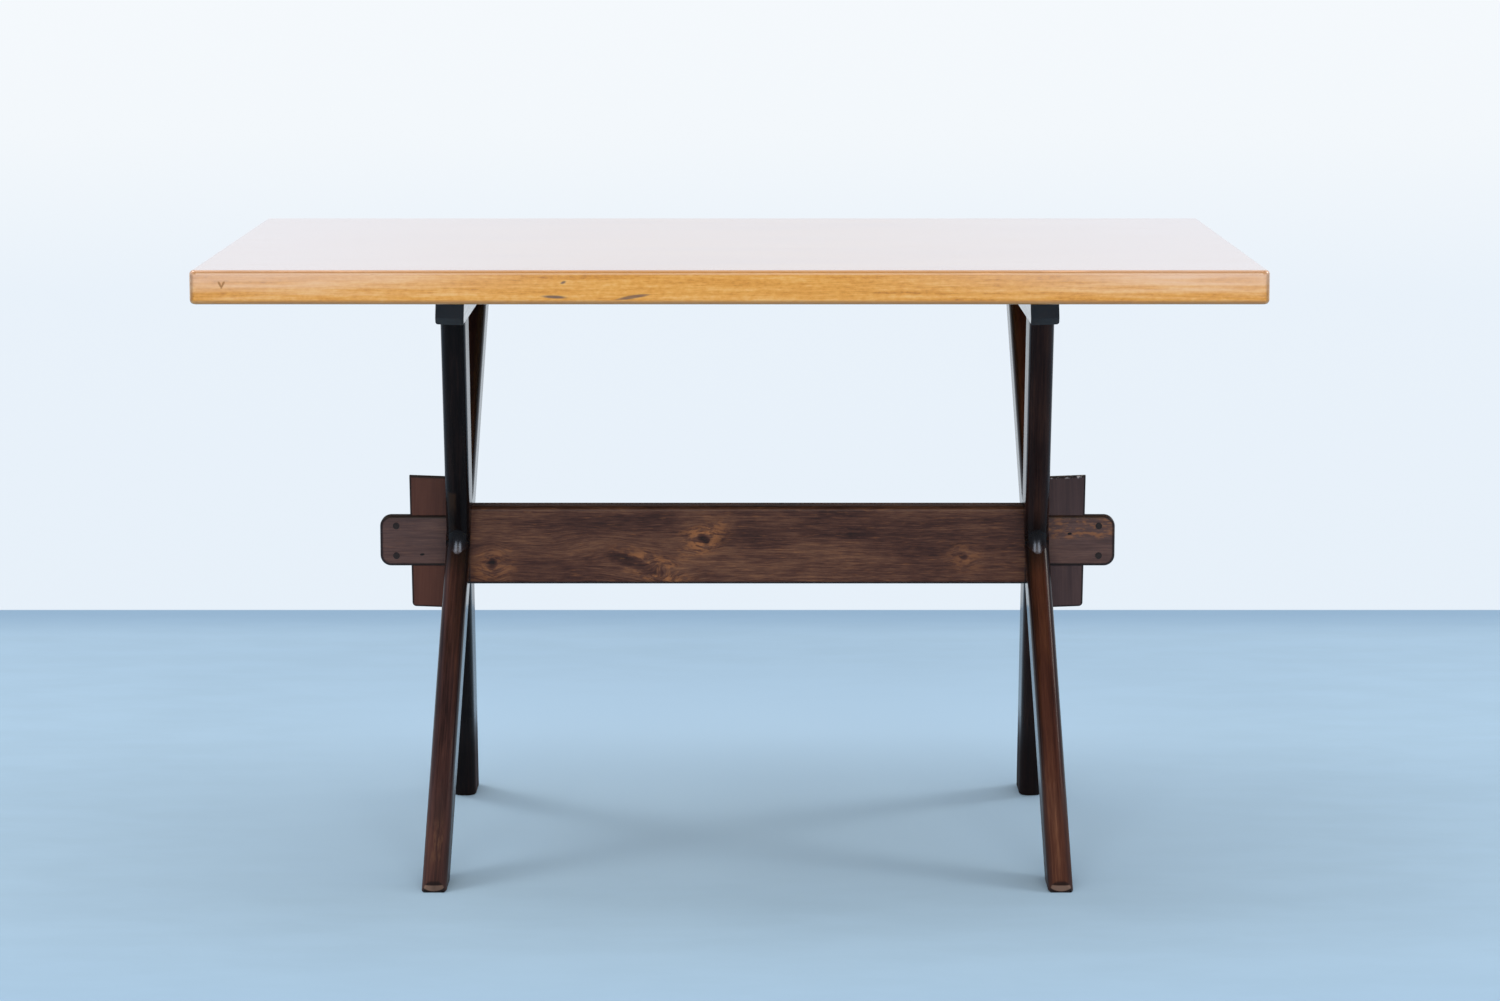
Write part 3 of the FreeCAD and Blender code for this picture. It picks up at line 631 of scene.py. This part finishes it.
def stretcher_stain():
    """The stretcher's streaky stained face with its knots, and the rubbed cheeks of its tenons."""
    finish = new_finish("stretcher_stain")
    point = finish.place()
    x, y, z = finish.split(point)
    drift = finish.noise(finish.stretch(point, 30.0, 60.0), 3.0)
    ragged = finish.span(drift, -0.8, 0.8)

    # The grain parts round each knot, so a streak's height is drawn towards the knot's own.
    flow = z
    hearts = 0.0
    for middle, half, tilt, darkness in KNOTS:
        around = (half[0] * PULL_REACH[0], half[1] * PULL_REACH[1])
        pull = finish.spot(x, z, middle, around, tilt, 0.95)
        offset = finish.calc("SUBTRACT", z, middle[1])
        flow = finish.calc("MULTIPLY_ADD", finish.both(pull, offset), -PULL_SHARE, flow)
        heart = finish.both(finish.spot(x, z, middle, half, tilt, 0.6, ragged), darkness)
        hearts = finish.calc("MAXIMUM", hearts, heart)
    grain = finish.join(x, y, flow)
    streaks = finish.noise(finish.stretch(grain, 24.0, 520.0), 5.0, 0.7)
    bands = finish.noise(finish.stretch(grain, 4.0, 90.0, 2.0), 4.0, 0.6)
    fibres = finish.noise(finish.stretch(grain, 90.0, 1500.0), 3.0, 0.6)
    clouds = finish.noise(finish.stretch(point, 11.0, 26.0, 6.0), 4.0, 0.6)
    tone = finish.blend(0.48, ((1.2, streaks), (0.8, bands), (1.25, clouds), (0.8, fibres)))
    colour = finish.ramp(finish.calc("SUBTRACT", tone, hearts), WALNUT_STAIN)

    # Worn streaks all along the board, and brighter flecks about the knots.
    warm = finish.noise(finish.stretch(grain, 45.0, 420.0, 3.0), 4.0, 0.65)
    colour = finish.mix(finish.both(finish.band(warm, 0.55, 0.75), 0.4), colour, WORN_ORANGE)
    rays = finish.noise(finish.stretch(grain, 90.0, 320.0, 1.0), 3.0, 0.65)
    flecked = finish.both(finish.band(rays, 0.42, 0.60), finish.band(hearts, 0.2, 0.0))
    for middle, half, tilt, brightness in FLECKS:
        glow = finish.spot(x, z, middle, half, tilt, 0.9, ragged)
        colour = finish.mix(finish.both(glow, flecked, brightness), colour, WORN_ORANGE)

    # Tenons: greyed cheeks, the right one worn through to orange over its upper half, and two pin holes.
    from_middle = finish.off(x, BASE_MIDDLE)
    on_tenon = finish.band(from_middle, *TENON_START)
    grey = finish.mix(finish.band(streaks, 0.3, 0.7), SHADED_GREY, WORN_GREY)
    colour = finish.mix(finish.both(on_tenon, 0.7), colour, grey)
    torn = finish.noise(finish.stretch(point, 60.0, 190.0, 8.0), 4.0, 0.65)
    upper_right = finish.both(finish.band(x, *TORN_RIGHT), finish.band(z, *TORN_RISE))
    colour = finish.mix(finish.both(upper_right, finish.band(torn, 0.46, 0.62), 0.6), colour, WORN_ORANGE)
    for middle, half in PIN_HOLES:
        colour = finish.mix(finish.spot(x, z, middle, half, 0.1, 0.3, ragged), colour, PIN_HOLE)

    # Painted shade on the rounded edges of the board, most of it low down, and all round the ends of the
    # tenons.
    board_rim = finish.band(finish.calc("ABSOLUTE", y), *BOARD_RIM)
    board_rim = finish.both(board_rim, finish.span(finish.band(z, *BOARD_RISE), 0.9, 0.5))
    past_x = finish.calc("SUBTRACT", from_middle, TENON_END - TENON_CORNER)
    past_z = finish.calc("SUBTRACT", finish.off(z, TENON_MIDDLE), TENON_HALF_HEIGHT - TENON_CORNER)
    past = finish.length(finish.calc("MAXIMUM", past_x, 0.0), finish.calc("MAXIMUM", past_z, 0.0))
    tenon_rim = finish.both(finish.band(past, *TENON_RIM), 0.85)
    change = finish.calc("SUBTRACT", tenon_rim, board_rim)
    colour = finish.mix(finish.calc("MULTIPLY_ADD", change, on_tenon, board_rim), colour, GRIME_AND_SHADE)

    roughness = finish.dulled(SATIN, streaks, finish.upward(*STRETCHER_DUST))
    height = finish.relief(streaks, fibres)
    return finish.varnish(colour, roughness, height, bump=0.16, depth=0.0006, settings=SATIN_VARNISH)


# Finishes of the pegs, dowels and screws

PEG_GRAIN = ((0.3, (0.012, 0.009, 0.010)), (0.7, (0.034, 0.023, 0.022)))
BIRCH = ((0.3, (0.45, 0.3, 0.16)), (0.7, (0.66, 0.49, 0.3)))
BARE_WOOD = {"IOR": 1.45}
OLD_STEEL = ((0.35, (0.10, 0.075, 0.06)), (0.55, (0.42, 0.41, 0.40)), (0.8, (0.58, 0.57, 0.56)))
BARE_STEEL = {"Metallic": 1.0}


def peg_end():
    """Dark end grain on the faces of the pegs."""
    finish = new_finish("peg_end")
    specks = finish.noise(finish.stretch(finish.place(), 900.0, 900.0), 2.0)
    colour = finish.ramp(specks, PEG_GRAIN)
    roughness = finish.span(specks, 0.5, 0.7)
    return finish.varnish(colour, roughness, specks, bump=0.3, depth=0.0004, settings=SATIN_VARNISH)


def raw_birch():
    """Bare pale wood of the dowels."""
    finish = new_finish("raw_birch")
    specks = finish.noise(finish.stretch(finish.place(), 700.0, 700.0), 2.0)
    colour = finish.ramp(specks, BIRCH)
    roughness = finish.span(specks, 0.6, 0.75)
    return finish.varnish(colour, roughness, specks, bump=0.3, depth=0.0004, settings=BARE_WOOD)


def dull_steel():
    """Old screw steel, a little brown in its hollows."""
    finish = new_finish("dull_steel")
    grime = finish.noise(finish.stretch(finish.place(), 420.0, 420.0), 3.0)
    colour = finish.ramp(grime, OLD_STEEL)
    roughness = finish.span(grime, 0.55, 0.25)
    return finish.varnish(colour, roughness, grime, bump=0.2, depth=0.0002, settings=BARE_STEEL)


def give(node, material):
    """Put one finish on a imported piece."""
    slots = nodes[node].data.materials
    slots.clear()
    slots.append(material)


# Screws and dowels, each row grown on the points where its pieces sit

SMALL_PART_CREASE = math.radians(35)


class Row(Tree):
    """A geometry tree that sets one small part on each point of a row. A modifier gives it its sizes."""

    def __init__(self, name, sizes):
        group = bpy.data.node_groups.new(name, "GeometryNodeTree")
        super().__init__(group)
        kinds = {"Points": "Geometry", "Place": "Vector", "Lean": "Vector"}
        kinds.update({"Seed": "Int", "Finish": "Material"})
        kinds.update({size: "Float" for size in sizes})
        for label, kind in kinds.items():
            group.interface.new_socket(label, in_out="INPUT", socket_type="NodeSocket" + kind)
        group.interface.new_socket("Parts", in_out="OUTPUT", socket_type="NodeSocketGeometry")
        self.given = self.add("NodeGroupInput").outputs

    def lift(self, part, height):
        """Move a part up its own axis."""
        inputs = (("Geometry", part), ("Translation", self.join(0.0, 0.0, height)))
        return self.add("GeometryNodeTransform", inputs).outputs[0]

    def end(self, parts):
        """Join the parts, set a turned copy on each point, lean the row and give it its finish."""
        whole = self.add("GeometryNodeJoinGeometry")
        for part in parts:
            self.feed(whole.inputs[0], part)
        turn = self.add("FunctionNodeRandomValue", data_type="FLOAT")
        highest = turn.inputs[3]
        self.feed(highest, math.tau)
        self.feed(turn.inputs["Seed"], self.given["Seed"])
        spin = self.join(0.0, 0.0, turn.outputs[1])
        inputs = (("Points", self.given["Points"]), ("Instance", whole.outputs[0]), ("Rotation", spin))
        copies = self.add("GeometryNodeInstanceOnPoints", inputs).outputs[0]
        inputs = (("Geometry", copies), ("Translation", self.given["Place"]),
                  ("Rotation", self.given["Lean"]))
        leaning = self.add("GeometryNodeTransform", inputs).outputs[0]
        real = self.add("GeometryNodeRealizeInstances", (("Geometry", leaning),)).outputs[0]
        inputs = (("Geometry", real), ("Material", self.given["Finish"]))
        finished = self.add("GeometryNodeSetMaterial", inputs).outputs[0]
        self.feed(self.add("NodeGroupOutput").inputs[0], finished)

    def grow(self, name, points, side, material, seed, sizes):
        """Run the tree on a row of points of a leg pair's frame and keep the result as a plain mesh."""
        mesh = bpy.data.meshes.new(name + "_points")
        mesh.from_pydata(points, [], [])
        piece = bpy.data.objects.new(name, mesh)
        bpy.context.scene.collection.objects.link(piece)
        modifier = piece.modifiers.new(name, "NODES")
        modifier.node_group = self.tree
        values = {"Place": tuple(pair_point(side, 0.0)), "Lean": (0.0, -side * PAIR_LEAN, 0.0)}
        values.update(sizes, Seed=seed, Finish=material)
        for item in self.tree.interface.items_tree:
            if item.in_out == "INPUT" and item.name in values:
                modifier[item.identifier] = values[item.name]
        grown = piece.evaluated_get(bpy.context.evaluated_depsgraph_get())
        piece.data = bpy.data.meshes.new_from_object(grown)
        piece.modifiers.remove(modifier)
        piece.data.shade_smooth()
        piece.data.set_sharp_from_angle(angle=SMALL_PART_CREASE)
        return piece


SCREW = {
    "Head Radius": 0.00475, "Shank Radius": 0.00245, "Root Radius": 0.0017, "Length": 0.0538,
    "Slot Width": 0.0012, "Slot Depth": 0.0011, "Thread Pitch": 0.0024, "Tip Length": 0.007,
}
SCREW_SEED = 11
HEAD_SIDES = 32
SHANK_SIDES = 24
THREAD_STEPS = 20
THREAD_SIDES = 3
POINT_RADIUS = 0.0002
PLAIN_SHARE = 0.4
DOWEL = {"Outer Radius": 0.00498, "Inner Radius": 0.0045, "Half Length": 0.022}
DOWEL_SEED = 5
FLUTES = 20


def screw_row():
    """Slotted countersunk wood screws, each with its head down on its point and its tip up."""
    row = Row("wood_screws", SCREW)
    given = row.given
    head_depth = row.calc("SUBTRACT", given["Head Radius"], given["Shank Radius"])
    inputs = (("Vertices", HEAD_SIDES), ("Radius Top", given["Shank Radius"]),
              ("Radius Bottom", given["Head Radius"]), ("Depth", head_depth))
    head = row.add("GeometryNodeMeshCone", inputs).outputs["Mesh"]

    # The slot is cut by a blade with its middle on the face of the head, and twice as wide as the head.
    wide = row.calc("MULTIPLY", given["Head Radius"], 4.0)
    deep = row.calc("MULTIPLY", given["Slot Depth"], 2.0)
    blade = row.add("GeometryNodeMeshCube", (("Size", row.join(wide, given["Slot Width"], deep)),))
    slotted = row.add("GeometryNodeMeshBoolean", operation="DIFFERENCE")
    row.feed(slotted.inputs["Mesh 1"], head)
    row.feed(slotted.inputs["Mesh 2"], blade.outputs["Mesh"])

    shank_end = row.calc("MULTIPLY", given["Length"], PLAIN_SHARE)
    shank_length = row.calc("SUBTRACT", shank_end, given["Slot Depth"])
    inputs = (("Vertices", SHANK_SIDES), ("Radius", given["Shank Radius"]), ("Depth", shank_length))
    shank = row.add("GeometryNodeMeshCylinder", inputs).outputs["Mesh"]
    shank = row.lift(shank, row.calc("MULTIPLY_ADD", shank_length, 0.5, given["Slot Depth"]))
    root_end = row.calc("SUBTRACT", given["Length"], given["Tip Length"])
    root_length = row.calc("SUBTRACT", root_end, shank_end)
    inputs = (("Vertices", SHANK_SIDES), ("Radius", given["Root Radius"]), ("Depth", root_length))
    root = row.add("GeometryNodeMeshCylinder", inputs).outputs["Mesh"]
    root = row.lift(root, row.calc("MULTIPLY_ADD", root_length, 0.5, shank_end))
    inputs = (("Vertices", SHANK_SIDES), ("Radius Top", POINT_RADIUS),
              ("Radius Bottom", given["Root Radius"]), ("Depth", given["Tip Length"]))
    tip = row.lift(row.add("GeometryNodeMeshCone", inputs).outputs["Mesh"], root_end)

    turns = row.calc("DIVIDE", root_length, given["Thread Pitch"])
    inputs = (("Resolution", THREAD_STEPS), ("Rotations", turns), ("Start Radius", given["Root Radius"]),
              ("End Radius", given["Root Radius"]), ("Height", root_length))
    helix = row.add("GeometryNodeCurveSpiral", inputs).outputs["Curve"]
    ridge_height = row.calc("SUBTRACT", given["Shank Radius"], given["Root Radius"])
    inputs = (("Resolution", THREAD_SIDES), ("Radius", ridge_height))
    ridge = row.add("GeometryNodeCurvePrimitiveCircle", inputs).outputs["Curve"]
    inputs = (("Curve", helix), ("Profile Curve", ridge), ("Fill Caps", True))
    thread = row.lift(row.add("GeometryNodeCurveToMesh", inputs).outputs["Mesh"], shank_end)
    row.end((slotted.outputs["Mesh"], shank, root, tip, thread))
    return row


def dowel_row():
    """Fluted dowels, each with its middle on its point."""
    row = Row("fluted_dowels", DOWEL)
    given = row.given
    foot = row.join(0.0, 0.0, row.calc("MULTIPLY", given["Half Length"], -1.0))
    head = row.join(0.0, 0.0, given["Half Length"])
    line = row.add("GeometryNodeCurvePrimitiveLine", (("Start", foot), ("End", head))).outputs["Curve"]
    inputs = (("Points", FLUTES), ("Inner Radius", given["Inner Radius"]),
              ("Outer Radius", given["Outer Radius"]))
    flutes = row.add("GeometryNodeCurveStar", inputs).outputs["Curve"]
    inputs = (("Curve", line), ("Profile Curve", flutes), ("Fill Caps", True))
    row.end((row.add("GeometryNodeCurveToMesh", inputs).outputs["Mesh"],))
    return row


# The rounded filling in the front and back valley of a crossing

HOLLOW_RADIUS = 0.030
HOLLOW_ARRIS = 0.0143
HOLLOW_SINK = 0.0002
HOLLOW_WIDTH_SHARE = 0.999
HOLLOW_STEPS = 24
HOLLOW_CREASE = math.radians(50)


def arris_sag(x, radius):
    """How far a rounded edge of the given radius falls back at x from the middle of a leg."""
    past = max(0.0, abs(x) - (LEG_HALF_THICKNESS - radius))
    return radius - math.sqrt(max(0.0, radius * radius - past * past))


def crossing_hollows(name, side, material):
    """Both fillings of a crossing, each faired into the rounded edges of the two legs."""
    crossing, up, out = pair_point(side, 0.0), pair_up(side), pair_out(side)
    back = LEG_HALF - 2 * LEG_ARRIS / math.cos(LEG_SLANT)
    ring = HOLLOW_STEPS + 2
    corners = []
    faces = []
    for front in (-1, 1):
        first = len(corners)
        for i in range(HOLLOW_STEPS + 1):
            x = LEG_HALF_THICKNESS * HOLLOW_WIDTH_SHARE * math.sin(math.pi * (i / HOLLOW_STEPS - 0.5))
            for j in range(HOLLOW_STEPS + 1):
                turn = LEG_SLANT * (2 * j / HOLLOW_STEPS - 1)
                share = (turn / LEG_SLANT) ** 2
                depth = share * arris_sag(x, LEG_ARRIS) + (1 - share) * arris_sag(x, HOLLOW_ARRIS)
                y = LEG_HALF - HOLLOW_SINK - depth / math.cos(LEG_SLANT)
                y += HOLLOW_RADIUS * (1 / math.cos(LEG_SLANT) - math.cos(turn))
                height = HOLLOW_RADIUS * math.sin(turn)
                corners.append(crossing + out * x + Vector((0.0, front * y, 0.0)) + up * height)
            corners.append(crossing + out * x + Vector((0.0, front * back, 0.0)))
        for i in range(HOLLOW_STEPS):
            for j in range(ring):
                low = first + i * ring + j
                high = first + i * ring + (j + 1) % ring
                faces.append((low, high, high + ring, low + ring))
        for end in (first, first + HOLLOW_STEPS * ring):
            faces.append(tuple(range(end, end + ring)))
    mesh = bpy.data.meshes.new(name)
    mesh.from_pydata(corners, [], faces)
    shape = bmesh.new()
    shape.from_mesh(mesh)
    bmesh.ops.recalc_face_normals(shape, faces=shape.faces)
    shape.to_mesh(mesh)
    shape.free()
    mesh.shade_smooth()
    mesh.set_sharp_from_angle(angle=HOLLOW_CREASE)
    mesh.materials.append(material)
    piece = bpy.data.objects.new(name, mesh)
    bpy.context.scene.collection.objects.link(piece)
    return piece


# Every piece and its finish. Each stained piece has a shift of its own, so that no two share their streaks.

SIDE_SHIFT = {"leg": 3.0, "hollow": 5.0, "batten": 7.0, "wedge": 11.0}
FOOT_SHIFT = 1.3
LEG_CONTRAST = 1.1
BATTEN_CONTRAST = 0.8
HOLLOW_CONTRAST = 0.6
WEDGE_CONTRAST = 0.6

top_material = honey_top()
for number in range(1, BOARD_COUNT + 1):
    give(f"top_board_{number}", top_material)

give("stretcher", stretcher_stain())
peg_material = peg_end()
birch = raw_birch()
steel = dull_steel()
screws = screw_row()
dowels = dowel_row()
# Each side's second row of colours is painted shade for the faces that look down.
leg_stain = {"left": (COFFEE_STAIN, BLACK_STAIN_AND_SHADE), "right": (RED_STAIN, REDDISH_SHADE)}
leg_polish = {"front": (GLOSS_VARNISH, front_leg_wear), "back": (THIN_VARNISH, back_leg_rub)}
wedge_finish = {"left": (WEDGE_STAIN, wedge_rim), "right": (GREYED_STAIN, chipped_wedge)}
inner_screw = HEAD_Y - LEG_HALF - SCREW_MARGIN
outer_screw = HEAD_Y + LEG_HALF + SCREW_MARGIN
screw_points = [(0.0, y, SEAT) for y in (-outer_screw, -inner_screw, 0.0, inner_screw, outer_screw)]
dowel_middle = HEAD_Y - DOWEL_SHIFT
polished = bpy.data.collections.new("polished_hollows")
for name, side in SIDES.items():
    up, out = pair_up(side), pair_out(side)
    crossing = pair_point(side, 0.0)
    stops, under = leg_stain[name]
    for end, foot in FEET.items():
        leg = f"{name}_{end}_leg"
        settings, wear = leg_polish[end]
        grain = up * math.cos(LEG_SLANT) + Vector((0.0, foot * math.sin(LEG_SLANT), 0.0))
        shift = SIDE_SHIFT["leg"] * side + FOOT_SHIFT * foot
        leg_axes = (crossing, grain, out)
        give(leg, stain(f"{leg}_stain", leg_axes, stops, settings, POLISHED,
                        shift, LEG_CONTRAST, wear, under))
        dowel_points = [(0.0, foot * (dowel_middle + half * DOWEL_PITCH / 2), SEAT) for half in (-1, 1)]
        pins = dowels.grow(f"{leg}_fluted_dowels", dowel_points, side, birch, DOWEL_SEED, DOWEL)
        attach(pins, "table")
        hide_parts(f"{leg}_dowels")

    batten_axes = (pair_point(side, SEAT + BATTEN_DEPTH / 2), (0.0, 1.0, 0.0), out)
    give(f"{name}_batten", stain(f"{name}_batten_stain", batten_axes, BLACK_STAIN_AND_SHADE, BATTEN_VARNISH, POLISHED,
                                 SIDE_SHIFT["batten"] * side, BATTEN_CONTRAST))
    fixings = screws.grow(f"{name}_slotted_screws", screw_points, side, steel, SCREW_SEED, SCREW)
    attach(fixings, "table")
    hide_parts(f"{name}_batten_screws")

    upright_axes = (crossing, up, (0.0, -1.0, 0.0))
    filling = stain(f"{name}_hollow_stain", upright_axes, stops, HEAVY_VARNISH, WAXED,
                    SIDE_SHIFT["hollow"] * side, HOLLOW_CONTRAST, shaded_hollow, under)
    hollows = crossing_hollows(f"{name}_crossing_hollows", side, filling)
    polished.objects.link(hollows)
    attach(hollows, "table")

    wedge_stops, wear = wedge_finish[name]
    give(f"{name}_wedge", stain(f"{name}_wedge_stain", upright_axes, wedge_stops, SATIN_VARNISH, RUBBED,
                                SIDE_SHIFT["wedge"] * side, WEDGE_CONTRAST, wear))
    for height in ("lower", "upper"):
        give(f"{name}_{height}_peg", peg_material)


# Stage: a pale floor that turns paler where the wall would start, soft lamps and a pale room

WALL_LINE = 1.612
WALL_STEP = (WALL_LINE - 0.004, WALL_LINE + 0.004)
CAMERA_PLACE = Vector((0.0225, -4.9550, 1.1286))
CAMERA_PITCH = math.radians(8.251)
PHOTO_WIDTH = 1500
FOCAL_PIXELS = 4177.5
SENSOR_WIDTH = 36.0
FLOOR_REACH = 60.0
LAMP_TONE = (1.0, 0.95, 0.88)

# Each lamp: its name, its place, the point it looks at, its size and its power.
WINDOWS = (
    ("left_window", (-2.4, 0.1, 3.4), (-0.3, 0.0, 0.3), 1.2, 30.0),
    ("right_window", (3.6, 0.1, 2.95), (0.3, 0.0, 0.3), 1.2, 36.0),
)
SCREENS = (
    ("front_screen", (0.0, -4.9, 2.7), (0.0, 0.0, 0.5), 4.0, 134.0),
    ("overhead", (0.0, 0.5, 3.4), (0.0, 0.0, 0.7), 2.6, 22.0),
)
PANE_TONE = (0.70, 0.82, 1.0)
PANE_ASIDE = 1.6
PANE_FRONT = -3.7
PANE_TARGET = (0.0, 0.0, 0.4)
PANE_WIDTH = 1.6
PANE_HEIGHT = 4.0
PANE_POWER = 420.0

# The floor's colours, painted light that makes it paler about the table, and painted shade near the camera
# and near the wall.
FLOOR_BLUE = (0.422, 0.593, 0.751)
FLOOR_PATCH = (0.405, 0.570, 0.722)
FLOOR_PAINTED_LIGHT = (0.460, 0.645, 0.825)
FLOOR_SHADE = (0.28, 0.43, 0.60)
LIT_ASIDE = (0.8, 0.3)
LIT_FRONT = (-0.4, 0.0)
LIT_BACK = (1.4, 0.6)
NEAR_SHADE = (-0.2, -1.3)
NEAR_SHARE = 0.66
FAR_SHADE = (WALL_LINE - 0.26, WALL_LINE)
FAR_SHARE = 0.7
WALL_TONES = (
    (0.08, (0.917, 0.950, 0.982)), (0.33, (0.895, 0.936, 0.972)), (0.55, (0.815, 0.885, 0.958)),
    (1.0, (0.800, 0.875, 0.952)),
)
ROOM_LIGHT = (0.580, 0.604, 0.648)
ROOM_FRONT = (0.10, 0.10, 0.105)
ROOM_SIDE = (0.44, 0.57, 0.75)
ROOM_BACK = (0.83, 0.895, 0.99)
FRONT_TO_SIDE = (-0.7, 0.0)
SIDE_TO_BACK = (0.2, 0.8)


def make_floor():
    """A painted floor, with painted light about the table and painted shade near the camera and the wall
    line.

    Past that line it is as pale as a wall.
    """
    finish = new_finish("floor_paint")
    point = finish.place()
    x, y, _ = finish.split(point)
    away = finish.calc("SUBTRACT", y, CAMERA_PLACE.y)
    slope = finish.calc("DIVIDE", CAMERA_PLACE.z, finish.calc("MAXIMUM", away, 1.0))
    wall_slope = CAMERA_PLACE.z / (WALL_LINE - CAMERA_PLACE.y)
    wall_tone = finish.ramp(finish.calc("DIVIDE", slope, wall_slope), WALL_TONES)
    patches = finish.noise(finish.stretch(point, 6.0, 14.0), 5.0, 0.6)
    blue = finish.mix(finish.band(patches, 0.3, 0.7), FLOOR_PATCH, FLOOR_BLUE)
    # Painted light: paler about and behind the table, where its shadow lies.
    lit_patch = finish.both(finish.band(y, *LIT_FRONT), finish.band(y, *LIT_BACK))
    lit_patch = finish.both(lit_patch, finish.band(finish.calc("ABSOLUTE", x), *LIT_ASIDE))
    blue = finish.mix(lit_patch, blue, FLOOR_PAINTED_LIGHT)
    # Painted shade near the camera and near the wall line.
    blue = finish.mix(finish.both(finish.band(y, *NEAR_SHADE), NEAR_SHARE), blue, FLOOR_SHADE)
    blue = finish.mix(finish.both(finish.band(y, *FAR_SHADE), FAR_SHARE), blue, FLOOR_SHADE)
    paint = finish.add("ShaderNodeBsdfDiffuse", (("Color", blue),))
    glow = finish.add("ShaderNodeEmission", (("Color", wall_tone), ("Strength", 1.0)))
    path = finish.add("ShaderNodeLightPath").outputs
    seen = finish.calc("MAXIMUM", path["Is Camera Ray"], path["Is Glossy Ray"])
    seen = finish.calc("MAXIMUM", seen, path["Is Transmission Ray"])
    share = finish.both(finish.band(y, *WALL_STEP), seen)
    surface = finish.add("ShaderNodeMixShader", ((0, share), (1, paint.outputs[0]), (2, glow.outputs[0])))
    finish.show(surface.outputs[0])
    corners = [(-FLOOR_REACH, -FLOOR_REACH, 0.0), (FLOOR_REACH, -FLOOR_REACH, 0.0),
               (FLOOR_REACH, FLOOR_REACH, 0.0), (-FLOOR_REACH, FLOOR_REACH, 0.0)]
    mesh = bpy.data.meshes.new("floor")
    mesh.from_pydata(corners, [], [(0, 1, 2, 3)])
    mesh.materials.append(finish.holder)
    floor = bpy.data.objects.new("floor", mesh)
    bpy.context.scene.collection.objects.link(floor)


def make_room():
    """The light of a white room: bright behind and beside the table, dimmer on the camera's side."""
    world = bpy.data.worlds.new("room")
    bpy.context.scene.world = world
    finish = Finish(world)
    y = finish.split(finish.add("ShaderNodeTexCoord").outputs["Generated"])[1]
    shine = finish.mix(finish.band(y, *FRONT_TO_SIDE), ROOM_FRONT, ROOM_SIDE)
    shine = finish.mix(finish.band(y, *SIDE_TO_BACK), shine, ROOM_BACK)
    path = finish.add("ShaderNodeLightPath").outputs
    colour = finish.mix(path["Is Glossy Ray"], ROOM_LIGHT, shine)
    colour = finish.mix(path["Is Camera Ray"], colour, WALL_TONES[0][1])
    light = finish.add("ShaderNodeBackground", (("Color", colour), ("Strength", 1.0)))
    finish.show(light.outputs[0], "ShaderNodeOutputWorld")


def make_lamp(name, place, target, size, power):
    """A square soft lamp that looks at a point."""
    lamp = bpy.data.lights.new(name, "AREA")
    lamp.size = size
    lamp.energy = power
    lamp.color = LAMP_TONE
    holder = bpy.data.objects.new(name, lamp)
    holder.location = place
    holder.rotation_euler = (Vector(target) - Vector(place)).to_track_quat("-Z", "Y").to_euler()
    bpy.context.scene.collection.objects.link(holder)
    return holder


def make_pane(name, side):
    """A tall bluish lamp that lights nothing but the hollows of the crossings, to give them their glints."""
    place = (PANE_ASIDE * side, PANE_FRONT, PANE_HEIGHT / 2)
    pane = make_lamp(name, place, PANE_TARGET, PANE_WIDTH, PANE_POWER)
    pane.data.shape = "RECTANGLE"
    pane.data.size_y = PANE_HEIGHT
    pane.data.color = PANE_TONE
    pane.visible_camera = False
    pane.visible_diffuse = False
    pane.light_linking.receiver_collection = polished


def make_camera():
    """The camera of the photo, as fitted to the edges and corners of the table."""
    lens = bpy.data.cameras.new("photo_camera")
    lens.sensor_width = SENSOR_WIDTH
    lens.lens = FOCAL_PIXELS / PHOTO_WIDTH * SENSOR_WIDTH
    lens.clip_end = 4 * FLOOR_REACH
    camera = bpy.data.objects.new("photo_camera", lens)
    camera.location = CAMERA_PLACE
    camera.rotation_euler = (math.pi / 2 - CAMERA_PITCH, 0.0, 0.0)
    bpy.context.scene.collection.objects.link(camera)
    bpy.context.scene.camera = camera


make_floor()
make_room()
for lamp in WINDOWS:
    make_lamp(*lamp)
for name, side in SIDES.items():
    make_pane(f"{name}_pane", side)
for lamp in SCREENS:
    make_lamp(*lamp)
make_camera()
bpy.context.scene.view_settings.view_transform = "Standard"
